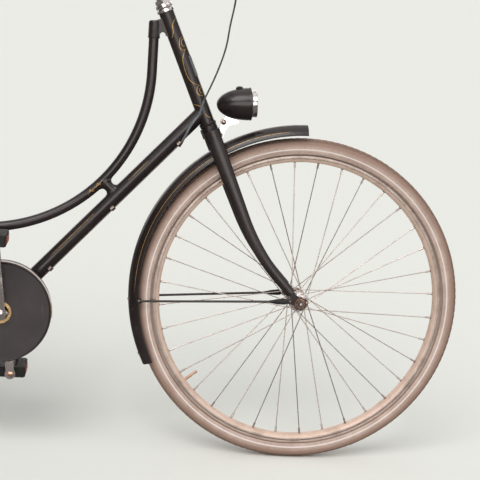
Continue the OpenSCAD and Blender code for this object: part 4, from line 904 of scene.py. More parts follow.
def guard_line(middle, radius, start, end, around, wide=1.0, high=0.12):
    """A painted line along a mudguard."""
    count = int(abs(end - start)) + 2
    spots = [guard_spot(middle, radius, start + (end - start) * i / (count - 1), around) for i in range(count)]
    ribbon = [(-wide / 2, -0.1), (-wide / 2.4, high), (wide / 2.4, high), (wide / 2, -0.1)]
    taper = [(min(1, 0.15 + 0.2 * min(i, count - 1 - i)), 1) for i in range(count)]
    return sweep([spot for spot, facing in spots], ribbon, [facing for spot, facing in spots], taper)


def guard_shell(middle, radius, start, end):
    """Sheet guard of less than half a circle, open to the wheel, with a bead rolled along each edge."""
    count = int(end - start) + 1
    path = arc(middle, radius - GUARD_HALF, start, end, count)
    outward = [(p - middle).normalized() for p in path]
    turns = [math.radians(t) for t in range(-GUARD_SPREAD, GUARD_SPREAD + 1, 6)]
    outline = [(GUARD_HALF * math.sin(t), GUARD_HALF * math.cos(t)) for t in turns]
    inner = GUARD_HALF - GUARD_SHEET
    outline += [(inner * math.sin(t), inner * math.cos(t)) for t in reversed(turns)]
    shapes = [sweep(path, outline, outward)]
    for side in SIDES:
        edge = [guard_spot(middle, radius, start + i, side * GUARD_SPREAD) for i in range(count)]
        path = [spot - facing * GUARD_BEAD_R / 2 for spot, facing in edge]
        shapes.append(sweep(path, circle(GUARD_BEAD_R, 10), Y))
    return shapes


for end, middle, radius, start, stop, line, body in (
        ("front", FRONT_GUARD, FRONT_GUARD_R, 91, 207, (97, 181), "steering"),
        ("rear", REAR, REAR_GUARD_R, -1, 214, (36, 164), "frame")):
    make(f"{end}_guard_shell", body, ENAMEL, *guard_shell(middle, radius, start, stop),
         replaces=f"{end}_mudguard")
    make(f"{end}_guard_lines", body, GOLD, *[guard_line(middle, radius, *line, side * 57) for side in SIDES])
set_out("front_guard_rivets", "steering", ZINC, RIVET,
        [guard_spot(FRONT_GUARD, FRONT_GUARD_R, turn, around)
         for turn in (STAY_TURN, 203) for around in (0, 18, -18)])


# Painted scrolls and lines on the tubes

def on_tube(foot, way, radius, facing):
    """Maps (around, along) millimetres to a tube's outside: around runs from facing towards way x facing."""
    side = way.cross(facing)

    def spot(around, along):
        turn = around / radius
        out = facing * math.cos(turn) + side * math.sin(turn)
        return foot + way * along + out * radius, out
    return spot


def stroke(spots, wide, high=0.12):
    """A painted line, pointed at both ends."""
    count = len(spots)
    ribbon = [(-wide / 2, -0.15), (-wide / 2.6, high), (wide / 2.6, high), (wide / 2, -0.15)]
    taper = [(0.25 + 0.75 * math.sin(math.pi * (i + 0.5) / count) ** 0.5, 1) for i in range(count)]
    return sweep([spot for spot, out in spots], ribbon, [out for spot, out in spots], taper)


def curl(middle, radius, start, turn, shrink=0.2, count=26):
    """A scroll's end in the flat: a spiral that closes on its middle."""
    flat = []
    for i in range(count):
        share = i / (count - 1)
        angle = math.radians(start + turn * share)
        size = radius * (1 - (1 - shrink) * share)
        flat.append((middle[0] + size * math.cos(angle), middle[1] + size * math.sin(angle)))
    return flat


def flat_line(points, parts=8):
    return [(p.x, p.y) for p in smooth([Vector((u, v, 0)) for u, v in points], parts)]


HEAD_SCROLL = [
    flat_line([(16.5, 230), (9, 226.5), (3, 220.5), (0.5, 213), (-1.5, 205), (-6, 197.5), (-8.4, 194)]),
    flat_line([(13.6, 189), (6.5, 186.5), (2, 178), (0.5, 169), (3.8, 162.5), (10.8, 163)]),
    flat_line([(15.5, 184.5), (10, 183), (6.8, 177), (7.8, 171), (12, 169.5)]),
    flat_line([(10.8, 163), (3, 154), (-3, 143), (-5.6, 128), (-6.2, 112), (-3.5, 97), (3, 87.5), (12, 81)]),
    flat_line([(14.5, 81.5), (6.4, 78.5), (2, 70.5), (3.6, 62.5), (12, 57)]),
    flat_line([(16.5, 74.5), (11, 74), (8.4, 69.5), (9.4, 65), (13.6, 63.5)]),
    flat_line([(2.5, 20), (4.5, 13.5), (10.5, 8)]),
]
HEAD_COLLAR = flat_line([(-16.5, 46), (-10, 44), (-4, 39.5), (2.5, 33)])
SWAN_SCROLL = [
    curl((-2.2, 8), 3.2, -90, 420), curl((2.4, 13), 2.6, 90, 420), curl((2.2, -8), 3.2, 90, 420),
    curl((-2.4, -13), 2.6, -90, 420), flat_line([(-2, 22), (0, 8), (0, -8), (2, -22)]),
]


def tube_scroll(scroll, spot, wide):
    return [stroke([spot(u, v) for u, v in line], wide) for line in scroll]


head_right = on_tube(on_steer(HEAD_LOW), STEER_UP, HEAD_R, -Y)
head_left = on_tube(on_steer(HEAD_LOW), STEER_UP, HEAD_R, Y)
head_strokes = tube_scroll(HEAD_SCROLL, head_right, 1.8)
head_strokes += tube_scroll([[(-u, v) for u, v in line] for line in HEAD_SCROLL], head_left, 1.8)
for spot, hand in ((head_right, 1), (head_left, -1)):
    head_strokes.append(stroke([spot(hand * u, v) for u, v in HEAD_COLLAR], 1.7))
make("head_tube_scrolls", "frame", GOLD, *head_strokes)

brace_out = upright_way(-46)
brace_way = Vector((-brace_out.z, 0, brace_out.x))
swan_strokes = []
for side in (-1, 1):
    spot = on_tube(SWAN_MID + brace_out * SWAN_BEND, brace_way, SWAN_R, Y * side)
    for line in SWAN_SCROLL:
        bowed = [(spot(u, v), v) for u, v in line]
        line = [(p - brace_out * v * v / (2 * SWAN_BEND), out) for (p, out), v in bowed]
        swan_strokes.append(stroke(line, 1.1))
make("swan_tube_scrolls", "frame", GOLD, *swan_strokes)

BRACE_R, BRACE_GAP, BRACE_FLARE = 11.15, 18.0, 8.0


def brace_fillets():
    """Short brace between the two tubes, flared along each of them in a quarter circle."""
    turns = [math.radians(15 * k) for k in range(7)]
    corner = [(BRACE_FLARE * (1 - math.cos(t)), BRACE_FLARE * (1 - math.sin(t))) for t in turns]
    stations = [(2 - SWAN_R, BRACE_FLARE)] + corner
    stations += [(BRACE_GAP - down, extra) for down, extra in reversed(corner)] + [(BRACE_GAP + 10, BRACE_FLARE)]
    start = SWAN_MID + DOWN_UNDER * (SWAN_BEND + SWAN_R)
    path = [start + DOWN_UNDER * down for down, extra in stations]
    return sweep(path, circle(1, 40), Y, [(BRACE_R + extra, BRACE_R) for down, extra in stations])


make("brace_fillets", "frame", ENAMEL, brace_fillets())

down_strokes = []
down_len = (DOWN_TOP - CRANK).length
for side in (-1, 1):
    spot = on_tube(CRANK, DOWN_WAY, DOWN_R, Y * side)
    for start, stop in ((0.25, 0.47), (0.64, 0.74)):
        steps = [start + (stop - start) * i / 30 for i in range(31)]
        down_strokes.append(stroke([spot(side * 6.8, t * down_len) for t in steps], 1.1))
make("down_tube_lines", "frame", GOLD, *down_strokes)

badge_spot = on_tube(on_steer(HEAD_LOW), STEER_UP, HEAD_R + 0.1, STEER_AHEAD)
BADGE_ROWS = ((101, -0.4), (102, 0.7), (146, 0.7), (147, -0.4))
badge_rows = [[spot + out * lift for spot, out in (badge_spot(u, v) for u in range(-14, 15, 2))]
              for v, lift in BADGE_ROWS]
make("head_badge", "frame", GREY_BADGE, ([p for row in badge_rows for p in row], skin(4, 15, False, False)))


# Headset and crown fittings

def steer_lathe(profile, steps=64, loop=False):
    return lathe(profile, STEER_FOOT, STEER_UP, Y, steps, loop)


def steer_x(z):
    """Where the steering axis is at a height."""
    return STEER_FOOT.x + STEER_UP.x / STEER_UP.z * (z - STEER_FOOT.z)


swan_x, swan_top = SWAN_MID.x + SWAN_BEND, on_steer(HEAD_TOP).z - 20
tube_in = HEAD_R - 2.6
tube_wall = [(HEAD_R, HEAD_LOW), (HEAD_R, HEAD_TOP), (tube_in, HEAD_TOP), (tube_in, HEAD_LOW)]
lug_sleeve = [(10.5, -36), (12.3, -36), (12.9, -35.2), (12.9, -33.6), (12.5, -32.6), (12.5, -3), (11.9, -0.8),
              (10, 1), (0, 2)]
arch = [(18.4 + 6.6 * math.cos(a * math.pi / 8), 7.5 * math.sin(a * math.pi / 8) - 30) for a in range(9)]
web = [(0, 1), (steer_x(swan_top + 10) - 3 - swan_x, 10), (steer_x(swan_top - 32) - 6 - swan_x, -32)]
web += arch + [(0, -32)]
web_x, web_z = 16, -12
make("head_tube_lug", "frame", ENAMEL, steer_lathe(tube_wall, 72, True),
     lathe(lug_sleeve, Vector((swan_x, 0, swan_top)), Z, X, 48),
     plate([(x - web_x, z - web_z) for x, z in web], Vector((swan_x + web_x, 0, swan_top + web_z)), 17),
     replaces="head_tube")

upper = [(-3, 0), (1.2, 0), (2.6, 1.5), (2.6, 5.5), (1.4, 7), (0.8, 8.4), (-3, 8.8)]
lower = [(-3, 0), (1, 0), (2.4, -1.4), (2.5, -5), (1.6, -6.4), (2.2, -8.6), (-3, -8.8)]
make("upper_bearing_cup", "frame", CHROME, steer_lathe([(HEAD_R + r, HEAD_TOP + a) for r, a in upper], 64, True),
     replaces="headset_cups")
make("lower_bearing_cup", "frame", ENAMEL, steer_lathe([(HEAD_R + r, HEAD_LOW + a) for r, a in lower], 64, True))
nut_low = HEAD_TOP + CUP_H + SEAT_GAP
knurl = [(17.6 + (0.5 if k % 2 else 0), k) for k in range(2, 7)]
locknut = [(12.8, 0), (18.2, 0), (18.6, 1.2)] + knurl + [(17.4, 7.2), (15.6, 7.8), (15.4, 9.4), (12.8, 9.6)]
hexagon = [(12.8, 9.7), (16.8, 9.7), (17.6, 10.5), (17.6, 16.6), (16.8, 17.6), (12.8, 17.8)]
make("head_locknut", "steering", CHROME,
     *[steer_lathe([(r, a + nut_low) for r, a in part], steps, True)
       for part, steps in ((locknut, 64), (hexagon, 6))],
     replaces="headset_nut", sharp=25)


# Brake cable: sleeve from the lever to the head tube, then wire under the down tube and along the left stay

CABLE_ROUTE = [Vector(p) for p in (
    (254, -235, 1063), (330, -226, 1078), (408, -190, 1072), (448, -130, 1042), (457, -76, 996), (452, -42, 942),
    (446, -28, 890), (430, -21, 835), (407, -19, 778))]
LOOP_FOLLOWS = Vector((10, -100, 240))
cable_foot = CABLE_ROUTE[-1]
cord("brake_cable_loop", "frame", SLEEVE, smooth(CABLE_ROUTE, 8), 1.9, replaces="cable_loop",
     blend=("frame", "steering", BIKE @ cable_foot, BIKE @ (cable_foot + LOOP_FOLLOWS)))


def on_down(share, turn, lift):
    out = DOWN_UNDER * math.cos(math.radians(turn)) - Y * math.sin(math.radians(turn))
    return CRANK.lerp(DOWN_TOP, share) + out * (DOWN_R + lift)


CHAIN_STAY = (CRANK + Vector((-14, 27, 0)), REAR + Vector((24, 61.5, -4)))
SHELL_CABLE_R, CABLE_TURN = 25.0, 33


def on_stay(share, turn, lift=12.0):
    out = Y * math.cos(math.radians(turn)) + Z * math.sin(math.radians(turn))
    return CHAIN_STAY[0].lerp(CHAIN_STAY[1], share) + out * lift


def on_shell(turn, left):
    return CRANK + upright_way(turn) * SHELL_CABLE_R + Y * left


sleeve_path = smooth([cable_foot, on_down(0.985, 100, 3.2), on_down(0.955, 92, 3.2), on_down(0.925, 80, 3.0),
                      on_down(0.895, 58, 2.8), on_down(0.865, CABLE_TURN, 2.6)], 6)
wire_path = [on_down(0.87, CABLE_TURN, 2.4), on_down(0.12, 32, 2.4)]
wire_path += smooth([wire_path[-1], on_shell(12, -9), on_shell(-32, -4), on_shell(-76, 8), on_shell(-120, 24),
                     on_stay(0.1, -20), on_stay(0.2, 35), on_stay(0.3, 90)], 5)[1:]
wire_path += [on_stay(0.86, 90), REAR + Vector((33, 52, 20))]
cord("brake_cable_sleeve", "frame", GREY_SLEEVE, sleeve_path, 2.7)
cord("brake_cable_wire", "frame", DARK_STEEL, wire_path, 1.2, replaces="brake_cable")


def clip(share):
    """Bent strip over the cable, on the down tube."""
    turns = range(5, 64, 6)
    band = [on_down(share, turn, 0.6 if abs(turn - CABLE_TURN) > 14 else 4.4) for turn in turns]
    out = [on_down(share, turn, 10) - on_down(share, turn, 0) for turn in turns]
    strip = [(-4.5, -0.6), (-4.5, 0.6), (4.5, 0.6), (4.5, -0.6)]
    return sweep(band, strip, out)


make("cable_clips", "frame", ZINC, *[clip(s) for s in (0.86, 0.53, 0.22)])
ferrule = [(0, -9), (2.9, -9), (3.2, -7), (3.2, 7), (2.4, 9), (0, 9)]
ferrule_spot, ferrule_way = sleeve_path[-1], (sleeve_path[-1] - sleeve_path[-2]).normalized()
make("cable_ferrule", "frame", ZINC, lathe(ferrule, ferrule_spot, ferrule_way, Y, 20))


# Chain case: rolled seam round its outline, and screws

def case_outline(grow):
    """The case's outline, grown outwards: round the crank, then round the rear axle."""
    gap = REAR - CRANK
    base = math.degrees(math.atan2(gap.z, gap.x))
    front_r, rear_r = CASE_R + grow, CASE_REAR_R + grow
    lean = math.degrees(math.acos((front_r - rear_r) / gap.length))
    front = arc(CRANK, front_r, base + lean - 360, base - lean, 90)
    return front + arc(REAR, rear_r, base - lean, base + lean, 30)


seam = [p - Y * (CASE_OUT - 0.2) for p in case_outline(-3.2)]
make("case_seam", "frame", ENAMEL, sweep(seam, circle(1.3, 8), Y, None, True), slot="case_paint")
set_out("case_screws", "frame", ZINC, RIVET, [(CRANK.lerp(REAR, s) + Vector((0, -CASE_OUT, z)), -Y)
                                             for s, z in ((0.42, 62), (0.42, -58), (0.8, 50), (0.8, -46))])


# Handlebar grips, bell and fittings

def bar_spot(back, out):
    return BAR_AT + Vector((-back * math.cos(BAR_SLOPE), out, back * math.sin(BAR_SLOPE)))


SWEEP, BAR_BEND_R, BAR_HALF, BAR_TAIL = math.radians(70), 108, 112, 200
BAR_UP = Vector((math.sin(BAR_SLOPE), 0, math.cos(BAR_SLOPE)))
bend_back, bend_out = BAR_BEND_R * (1 - math.cos(SWEEP)), BAR_HALF + BAR_BEND_R * math.sin(SWEEP)
bar_tail = bar_spot(bend_back, bend_out)
bar_end = bar_spot(bend_back + BAR_TAIL * math.sin(SWEEP), bend_out + BAR_TAIL * math.cos(SWEEP))
TAIL_WAY = (bar_end - bar_tail).normalized()


def grip_profile():
    """Flange, finger rings and a rounded end, from the grip's front to its back."""
    profile = [(BAR_R + 0.1, 0), (15.2, 0), (16.0, 0.8), (16.0, 3.4), (15.2, 4.4), (14.2, 5.5)]
    for ring in range(16):
        at = 7.5 + ring * 6.8
        waist = 14.0 + 0.9 * math.sin(math.pi * at / 120) ** 2
        profile += [(waist + out, at + on) for out, on in ((0, 0), (0.75, 1.2), (0.9, 2.6), (0.75, 4.0), (0, 5.2))]
    profile += [(14.3, 118), (15.4, 120.5), (15.8, 124), (15.6, 129)]
    turns = [a * math.pi / 16 for a in range(1, 9)]
    return profile + [(15.4 * math.cos(turn), 129 + 11 * math.sin(turn)) for turn in turns]


grip_shapes = []
grip_foot = bar_end - TAIL_WAY * 128
for side in SIDES:
    foot, way = (Vector((v.x, v.y * side, v.z)) for v in (grip_foot, TAIL_WAY))
    grip_shapes.append(lathe(grip_profile(), foot, way, Z.cross(way).normalized(), 40))
make("ribbed_grips", "steering", BLACK_RUBBER, *grip_shapes, replaces="grips", sharp=50)

BELL_OUT = 74
bell_foot = bar_spot(0, BELL_OUT) + BAR_UP * (BAR_R + 12)
bell_top = [(0, 31.4), (2.2, 31.2), (3.6, 30.2), (4.0, 28.8), (5.5, 28.2), (7.5, 27.3), (9, 26.2), (0, 26.0)]
bell_rim = [(25.4, -0.6), (28.0, -1.4), (28.7, -0.6), (28.7, 0.8), (28.0, 1.6), (25.6, 0.8)]
make("bell_cap", "steering", CHROME, lathe(bell_top, bell_foot, BAR_UP, Y, 32),
     lathe(bell_rim, bell_foot, BAR_UP, Y, 64, True))
thumb = [bell_foot + Vector((ahead, 0, up)) for ahead, up in ((-18, -8), (-30, -9), (-38, -7), (-44, -3))]
make("bell_thumb_lever", "steering", CHROME,
     sweep(smooth(thumb, 5), [(-5, -0.9), (-5, 0.9), (5, 0.9), (5, -0.9)], Z))
lever_clamp = mirrored([bar_end - TAIL_WAY * 144])[0]
set_out("control_bolts", "steering", ZINC, BOLT,
        [(lever_clamp + Z * 14.6, Z), (BAR_AT + Z * 16.6, Z), (BAR_AT - BAR_REACH + STEER_UP * 10.8, STEER_UP),
         (bar_spot(0, BELL_OUT) - BAR_UP * (BAR_R + 2.6), -BAR_UP)])


# Saddle: a crowned cushion over its springs, with a piped edge

SADDLE_BACK, SADDLE_NOSE = -376.0, -91.0
WIDE, NOSE_W, CORNER = 105.0, 23.0, 34.0


def saddle_half_width(x):
    back, nose = x - SADDLE_BACK, SADDLE_NOSE - x
    share = min(1.0, max(0.0, (back - CORNER) / (SADDLE_NOSE - SADDLE_BACK - CORNER - NOSE_W)))
    width = NOSE_W + (WIDE - NOSE_W) * (0.5 + 0.5 * math.cos(math.pi * share)) ** 1.7
    if back < CORNER:
        width = WIDE - CORNER + math.sqrt(max(0, CORNER ** 2 - (CORNER - back) ** 2))
        width -= 8 * (1 - back / CORNER) ** 2
    if nose < NOSE_W:
        width = min(width, math.sqrt(max(0, NOSE_W ** 2 - (NOSE_W - nose) ** 2)))
    return max(width, 2.0)


def saddle_section(x, count=44):
    """Half-round crown over a tucked-in skirt and a flat underside, from the left edge over to the right."""
    share = (x - SADDLE_BACK) / (SADDLE_NOSE - SADDLE_BACK)
    width = saddle_half_width(x)
    end = min(1.0, (x - SADDLE_BACK) / 26, (SADDLE_NOSE - x) / 20)
    full = math.sqrt(max(0.0, 1 - (1 - end) ** 2))
    top = (SADDLE_TOP - SADDLE_LOW) * (0.35 + 0.65 * full) - 5.5 * math.sin(math.pi * share) ** 2
    section = []
    for i in range(count + 1):
        turn = math.pi * i / count
        across, high = math.cos(turn), math.sin(turn)
        y = width * math.copysign(abs(across) ** 0.62, across)
        z = top * high ** 0.5
        hollow = 3.0 * math.exp(-(y / (0.2 * width + 6)) ** 2) * math.sin(math.pi * share)
        tuck = 5.0 * (1 - min(1.0, z / (0.45 * top))) ** 2
        section.append(Vector((x, y - math.copysign(min(tuck, 0.3 * width), y), SADDLE_LOW + 0.6 + z - hollow)))
    return section


def settled(piece, modifier_kind, **settings):
    """Mesh of an object with one modifier applied to it."""
    modifier = piece.modifiers.new(modifier_kind.lower(), modifier_kind)
    for key, value in settings.items():
        setattr(modifier, key, value)
    mesh = bpy.data.meshes.new_from_object(piece.evaluated_get(bpy.context.evaluated_depsgraph_get()))
    piece.modifiers.remove(modifier)
    return mesh


CUSHION_GRID, CUSHION_HELD, CUSHION_CAP = 4.5, 7, 3.0
PRESSURE, FRAMES = 4.0, 20
MM_PER_M = 1000


def swollen(shape):
    """A cushion's skin, in millimetres, blown up as cloth: its underside is held, no point moves past the cap."""
    skin_mesh = bpy.data.meshes.new("cushion_skin")
    skin_mesh.from_pydata([p / MM_PER_M for p in shape[0]], [], shape[1])
    pad = bpy.data.objects.new("cushion_skin", skin_mesh)
    bpy.context.collection.objects.link(pad)
    pad.data = settled(pad, "REMESH", mode="VOXEL", voxel_size=CUSHION_GRID * MM)
    rest = [v.co.copy() for v in pad.data.vertices]
    held = pad.vertex_groups.new(name="held")
    held.add([i for i, spot in enumerate(rest) if spot.z * MM_PER_M < SADDLE_LOW + CUSHION_HELD], 1.0, "REPLACE")
    cloth = pad.modifiers.new("cloth", "CLOTH")
    cloth.settings.vertex_group_mass = "held"
    cloth.settings.use_pressure = True
    cloth.settings.uniform_pressure_force = PRESSURE
    cloth.settings.effector_weights.gravity = 0.0
    cloth.point_cache.frame_end = FRAMES
    for moment in range(1, FRAMES + 1):
        bpy.context.scene.frame_set(moment)
    blown = bpy.data.meshes.new_from_object(pad.evaluated_get(bpy.context.evaluated_depsgraph_get()))
    for vertex, start in zip(blown.vertices, rest):
        move = (vertex.co - start) * MM_PER_M
        vertex.co = start + move.normalized() * min(move.length, CUSHION_CAP) / MM_PER_M
    pad.modifiers.remove(cloth)
    bpy.context.scene.frame_set(1)
    pad.data = blown
    pad.data = settled(pad, "SMOOTH", factor=0.5, iterations=6)
    mesh = settled(pad, "SUBSURF", levels=1, render_levels=1)
    bpy.data.objects.remove(pad)
    mesh.transform(Matrix.Scale(MM_PER_M, 4))
    return mesh


shares = [0.5 - 0.5 * math.cos(math.pi * i / 63) for i in range(64)]
sections = [saddle_section(SADDLE_BACK + (SADDLE_NOSE - SADDLE_BACK) * share) for share in shares]
cushion = swollen(([p for row in sections for p in row], skin(len(sections), len(sections[0]), False)))
cushion_faces = [tuple(f.vertices) for f in cushion.polygons]
cushion_top = BVHTree.FromPolygons([v.co for v in cushion.vertices], cushion_faces)
as_piece("saddle_cushion", cushion, "frame", HIDE, "saddle_cover", "saddle", 70)


def on_cushion(spot, lift):
    hit, facing, face, gap = cushion_top.find_nearest(spot)
    return hit + facing * lift


def saddle_ring(column, lift):
    """A line round the saddle at one height of its sides, set off from the cover by lift."""
    left = [on_cushion(row[column], lift) for row in sections[2:-2]]
    right = [on_cushion(row[-1 - column], lift) for row in reversed(sections[2:-2])]
    return left + right + left[:1]


cord("saddle_piping", "frame", BLACK_RUBBER, saddle_ring(4, 0.5), 1.7, "saddle_cover")


def saddle_stitches():
    places = []
    line = saddle_ring(8, 0.15)
    run = 0.0
    for a, b in zip(line, line[1:]):
        step = (b - a).length
        while run < step:
            places.append((a.lerp(b, run / step), (b - a).normalized()))
            run += 5.6
        run -= step
    return places


STITCH_LONG = stamp("long_stitch", turned([(0, -1.8), (0.5, -1.3), (0.6, 0), (0.5, 1.3), (0, 1.8)], 6))
set_out("saddle_stitching", "frame", BLACK_RUBBER, STITCH_LONG, saddle_stitches(), "saddle_cover", 60)

SPRING_AT, SPRING_LOW, SPRING_HIGH = Vector((-322.5, 62, 0)), 892.4, SADDLE_LOW - 2.4
coils = [COIL.grow("coil", NO_MESH, CHROME, Matrix.Translation((SPRING_AT.x, SPRING_AT.y * side, SPRING_LOW)),
                   Radius=19.0, Height=SPRING_HIGH - SPRING_LOW, Turns=5.0, Wire=2.0) for side in SIDES]
as_piece("saddle_coils", joined("saddle_coils", coils), "frame", CHROME, "chrome", "saddle_springs", 60)


# Rear lamp: dark housing, bright rim and a ribbed red lens

REAR_LAMP_TURN = 152
REAR_LAMP_OUT = upright_way(REAR_LAMP_TURN)
rear_lamp_foot = REAR + REAR_LAMP_OUT * (REAR_GUARD_R + SEAT_GAP)


def rear_lathe(profile, steps=56, loop=False):
    return lathe(profile, rear_lamp_foot, REAR_LAMP_OUT, Y, steps, loop)


lamp_back = [(0, 0), (13, -0.6), (15, 1.5), (21, 4.5), (24.4, 9), (25.6, 14), (25.6, 15.5), (0, 15.6)]
make("rear_lamp_body", "frame", ENAMEL, rear_lathe(lamp_back))
lamp_rim = [(23.5, 15), (25.8, 15), (26, 15.8), (26, 19), (25.4, 20), (23.8, 20)]
make("rear_lamp_rim", "frame", CHROME, rear_lathe(lamp_rim, 64, True))
red_dome = [(23.6 * math.cos(turn) + 0.25 * math.cos(40 * turn), 17.5 + 12.5 * math.sin(turn))
            for turn in (a * math.pi / 40 for a in range(20))]
make("rear_lamp_lens", "frame", RED, rear_lathe([(23.6, 15.7)] + red_dome + [(0, 30)]),
     replaces="rear_lamp", sharp=20)


# Pedals and cranks: ribbed rubber blocks, reflectors, caps on the axles and cotter bolts

def slab(middle, half, edge):
    """Block with broken edges: middle and half sizes in millimetres."""
    points, faces = [], []
    for x, grow in ((-half.x, 1), (-half.x + edge, 0), (half.x - edge, 0), (half.x, 1)):
        cut = edge * grow
        points += [middle + Vector((x, y, z)) for y, z in (
            (-half.y + cut, -half.z + cut), (half.y - cut, -half.z + cut), (half.y - cut, half.z - cut),
            (-half.y + cut, half.z - cut))]
    return points, skin(4, 4, False)


PEDAL_IN, PEDAL_OUT, ARM_IN, ARM_Y, ARM_OUT = 94, 186, 74, 81, 88
CAP = [(0, 3.4), (4, 3.2), (6.6, 2.2), (7.6, 0.6), (7.6, -0.6), (0, -0.6)]
BUTTON = [(0, 1.8), (4.5, 1.6), (6.4, 0.8), (6.8, -0.4), (0, -0.4)]
CRANK_CAP = [(0, 4.0), (5, 3.8), (8, 2.6), (9.4, 0.8), (9.4, -0.5), (0, -0.5)]
PEDALS = [(side, body, joint_spot(f"{body}_spin")) for side, body in zip(SIDES, ("left_pedal", "right_pedal"))]
for side, body, hub in PEDALS:
    middle = Vector((hub.x, (PEDAL_IN + PEDAL_OUT) / 2 * side, hub.z))
    make(f"{body}_reflectors", body, AMBER,
         *[slab(middle + X * end * 32.6, Vector((1.1, 27, 6.5)), 0.6) for end in SIDES])
    ribs = [slab(middle + Vector((end * 22, k * 9.0, top * 11.4)), Vector((9.2, 2.6, 0.9)), 0.5)
            for end in SIDES for top in SIDES for k in range(-4, 5)]
    make(f"{body}_ribs", body, BLACK_RUBBER, *ribs, slot="pedal_rubber")
    cap_at = Vector((hub.x, (PEDAL_OUT + 3.2) * side, hub.z))
    make(f"{body}_cap", "crank", BRASS, lathe(CAP, cap_at, Y * side, X, 28))
for side, body, hub in PEDALS:
    button_at = Vector((hub.x, ARM_IN * side, hub.z))
    make(f"{body}_axle_end", "crank", COPPER, lathe(BUTTON, button_at, Y * -side, X, 28))
make("crank_axle_caps", "crank", CHROME,
     *[lathe(CRANK_CAP, CRANK + Y * side * ARM_OUT, Y * side, X, 32) for side in SIDES])
left_arm = joint_spot("left_pedal_spin") - CRANK
cotter_way = Y.cross(Vector((left_arm.x, 0, left_arm.z)).normalized())
set_out("crank_cotters", "crank", ZINC, BOLT,
        [(CRANK + Y * side * ARM_Y + cotter_way * side * 14.6, cotter_way * side) for side in SIDES])


# Coat guards: a bead round each and studs along its outer edge

GUARD_CLOTH_Y, CLOTH_BEAD_R = 30.9, 1.2
bead_paths = []
for side in SIDES:
    middle = REAR + Y * side * GUARD_CLOTH_Y
    bead_paths += [arc(middle, radius, 34.5, 171.5, 100) for radius in (150.8, 360.5)]
    bead_paths += [[middle + upright_way(turn) * radius for radius in (150, 361)] for turn in (34.4, 171.6)]
make("coat_guard_beads", "frame", VINYL, *[sweep(path, circle(CLOTH_BEAD_R, 8), Y) for path in bead_paths])
studs = [(p + Y * side * (GUARD_CLOTH_Y + SEAT_GAP), Y * side)
         for side in SIDES for p in arc(REAR, 354, 40, 166, 8)]
set_out("coat_guard_studs", "frame", ZINC, RIVET, studs)


# Bolts on rack, seat clamp and stand, and the rear guard's rivets

RACK_BOLT = Vector((REAR.x - 135, 63.2, REAR.z + REAR_GUARD_R + 45))
SEAT_BOLT = Vector((-210.5, 17.6, 803.4))
frame_bolts = [(Vector((at.x, at.y * side, at.z)), Y * side) for at in (RACK_BOLT, SEAT_BOLT) for side in SIDES]
set_out("frame_bolts", "frame", ZINC, BOLT, frame_bolts + [(CRANK + Vector((-335, 81.3, 5)), Y)])
set_out("rear_guard_rivets", "frame", ZINC, RIVET,
        [guard_spot(REAR, REAR_GUARD_R, REAR_LAMP_TURN + turn, around) for turn in (-7, 7) for around in (14, -14)])


# Front stays: a tab on the guard, a clip at the fork end and a bolt at each end of a stay

stay_joint = FRONT_GUARD + upright_way(STAY_TURN) * (FRONT_GUARD_R - GUARD_HALF + 6)
stay_foot = FRONT + Vector((-23, 0, 4.5))
STAY_CLIP = ((4, (3, 2.8)), (8, (6.2, 3.4)), (14, (6.6, 3.6)), (30, (5.4, 3.4)), (38, (3.6, 3.1)), (44, (2.9, 2.8)))
TAB = [(-5.5, -0.7), (5.5, -0.7), (5.5, 0.7), (-5.5, 0.7)]
stay_clips, guard_tabs, stay_bolts = [], [], []
for side in SIDES:
    low, high, tab_low = (Vector((p.x, side * y, p.z)) for p, y in (
        (stay_foot, 57.1), (stay_joint, GUARD_HALF + SEAT_GAP), (stay_joint, GUARD_HALF + 0.9)))
    clip_path = [low + (high - low).normalized() * along for along, size in STAY_CLIP]
    stay_clips.append(sweep(clip_path, circle(1, 18), Y, [size for along, size in STAY_CLIP]))
    top = guard_spot(FRONT_GUARD, FRONT_GUARD_R, STAY_TURN, side * 60)[0]
    tab_path = [top, top.lerp(tab_low, 0.5) + Y * side, tab_low, tab_low + (tab_low - top).normalized() * 4]
    guard_tabs.append(sweep(tab_path, TAB, Y * side))
    stay_bolts += [(Vector((p.x, side * y, p.z)), Y * side) for p, y in (
        (stay_joint, GUARD_HALF + 2.9), (stay_foot, 56.6))]
make("guard_tabs", "steering", ENAMEL, *guard_tabs)
make("stay_clips", "steering", BLACK_RUBBER, *stay_clips)
set_out("stay_bolts", "steering", ZINC, RIVET, stay_bolts)


# Axle ends: a dome on each axle and a washer round each nut

AXLE_DOME = [(0, 3.0), (2.4, 2.7), (4.2, 1.4), (4.9, -0.4), (0, -0.4)]
WASHER = [(0.15, 0), (2.0, 0), (2.4, 0.5), (2.4, 1.0), (2.0, 1.4), (0.15, 1.6)]
for end, axle, half, nut_r, plate_out, body in (("front", FRONT, 68, 9.0, 54.05, "steering"),
                                                ("rear", REAR, 80, 9.5, 64.05, "frame")):
    make(f"{end}_axle_ends", body, ZINC,
         *[lathe(AXLE_DOME, axle + Y * side * half, Y * side, X, 24) for side in SIDES])
    washer = [(nut_r + r, along) for r, along in WASHER]
    make(f"{end}_axle_washers", body, RUST,
         *[lathe(washer, axle + Y * side * plate_out, Y * side, X, 40, True) for side in SIDES])


# Light, floor and background

BACKGROUND = (0.823, 0.831, 0.783)
FLOOR_TONE = (0.88, 0.88, 0.822)
FLOOR_REACH = 60.0
FILL = 0.56


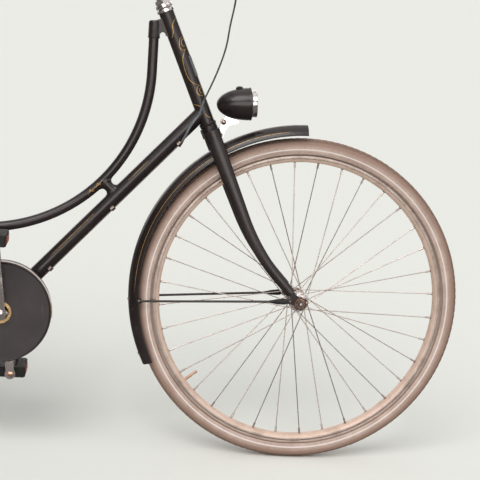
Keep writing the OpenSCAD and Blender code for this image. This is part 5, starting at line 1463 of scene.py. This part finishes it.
def make_world():
    """Even fill light; the camera sees the pale background, and gloss a studio with three bright parts."""
    world = bpy.data.worlds.new("studio")
    bpy.context.scene.world = world
    world.use_nodes = True
    g = Graph(world.node_tree)
    g.tree.nodes.clear()
    camera, gloss, through = (g.node("ShaderNodeLightPath", output=n)
                              for n in ("Is Camera Ray", "Is Glossy Ray", "Is Transmission Ray"))
    fill = g.node("ShaderNodeBackground", None, {"Color": (0.97, 0.98, 1.0), "Strength": FILL})
    shown = g.node("ShaderNodeBackground", None, {"Color": BACKGROUND, "Strength": 1.0})
    way = g.node("ShaderNodeTexCoord", output="Generated")
    parts = g.tree.nodes.new("ShaderNodeSeparateXYZ")
    g.feed(parts.inputs[0], way)
    across, up = Value(g, parts.outputs["Y"]), Value(g, parts.outputs["Z"])
    overhead = up.rise(0.45, 0.85) * 0.9
    window = up.band(0.16, 0.14, 0.22) * (1 - across.rise(-0.95, -0.7)) * 3.0
    backdrop = up.band(0.24, 0.18, 0.12) * across.rise(0.5, 0.85) * 1.5
    bright = 0.08 + overhead + window + backdrop
    studio = g.node("ShaderNodeBackground", None, {"Color": (1.0, 0.95, 0.92), "Strength": bright})
    lit = g.node("ShaderNodeMixShader", None, {0: gloss, 1: fill, 2: studio})
    both = g.node("ShaderNodeMixShader", None, {0: camera.math("MAXIMUM", through), 1: lit, 2: shown})
    end = g.tree.nodes.new("ShaderNodeOutputWorld")
    g.feed(end.inputs[0], both)


def make_floor():
    """Plain pale floor that keeps its shadow; in reflections it is darker."""
    corners = [(x * FLOOR_REACH, y * FLOOR_REACH, 0) for x, y in ((-1, -1), (1, -1), (1, 1), (-1, 1))]
    mesh = bpy.data.meshes.new("floor")
    mesh.from_pydata(corners, [], [(0, 1, 2, 3)])
    floor = bpy.data.objects.new("floor", mesh)
    bpy.context.collection.objects.link(floor)
    f = Finish("floor_paint", Roughness=0.9, Specular_IOR_Level=0.0)
    gloss = f.node("ShaderNodeLightPath", output="Is Glossy Ray")
    paint = f.mix(f.noise(3, 2) * 0.02, FLOOR_TONE, (0.8, 0.8, 0.75))
    floor.data.materials.append(f.set(Base_Color=f.mix(gloss, paint, (0.2, 0.18, 0.17))))


def make_sun(name, strength, spread, way):
    data = bpy.data.lights.new(name, "SUN")
    data.energy, data.angle = strength, math.radians(spread)
    lamp = bpy.data.objects.new(name, data)
    lamp.rotation_mode = "QUATERNION"
    lamp.rotation_quaternion = Vector(way).to_track_quat("-Z", "Y")
    bpy.context.collection.objects.link(lamp)


make_world()
make_floor()
make_sun("key", 1.25, 38, (0.35, 0.75, -1.0))
make_sun("fill", 0.5, 60, (-0.8, 0.5, -0.7))

put_away(RIVET, BOLT, TREAD, EYELET, HUB_HEAD, STITCH_LONG)
bpy.context.scene.view_settings.view_transform = "Standard"
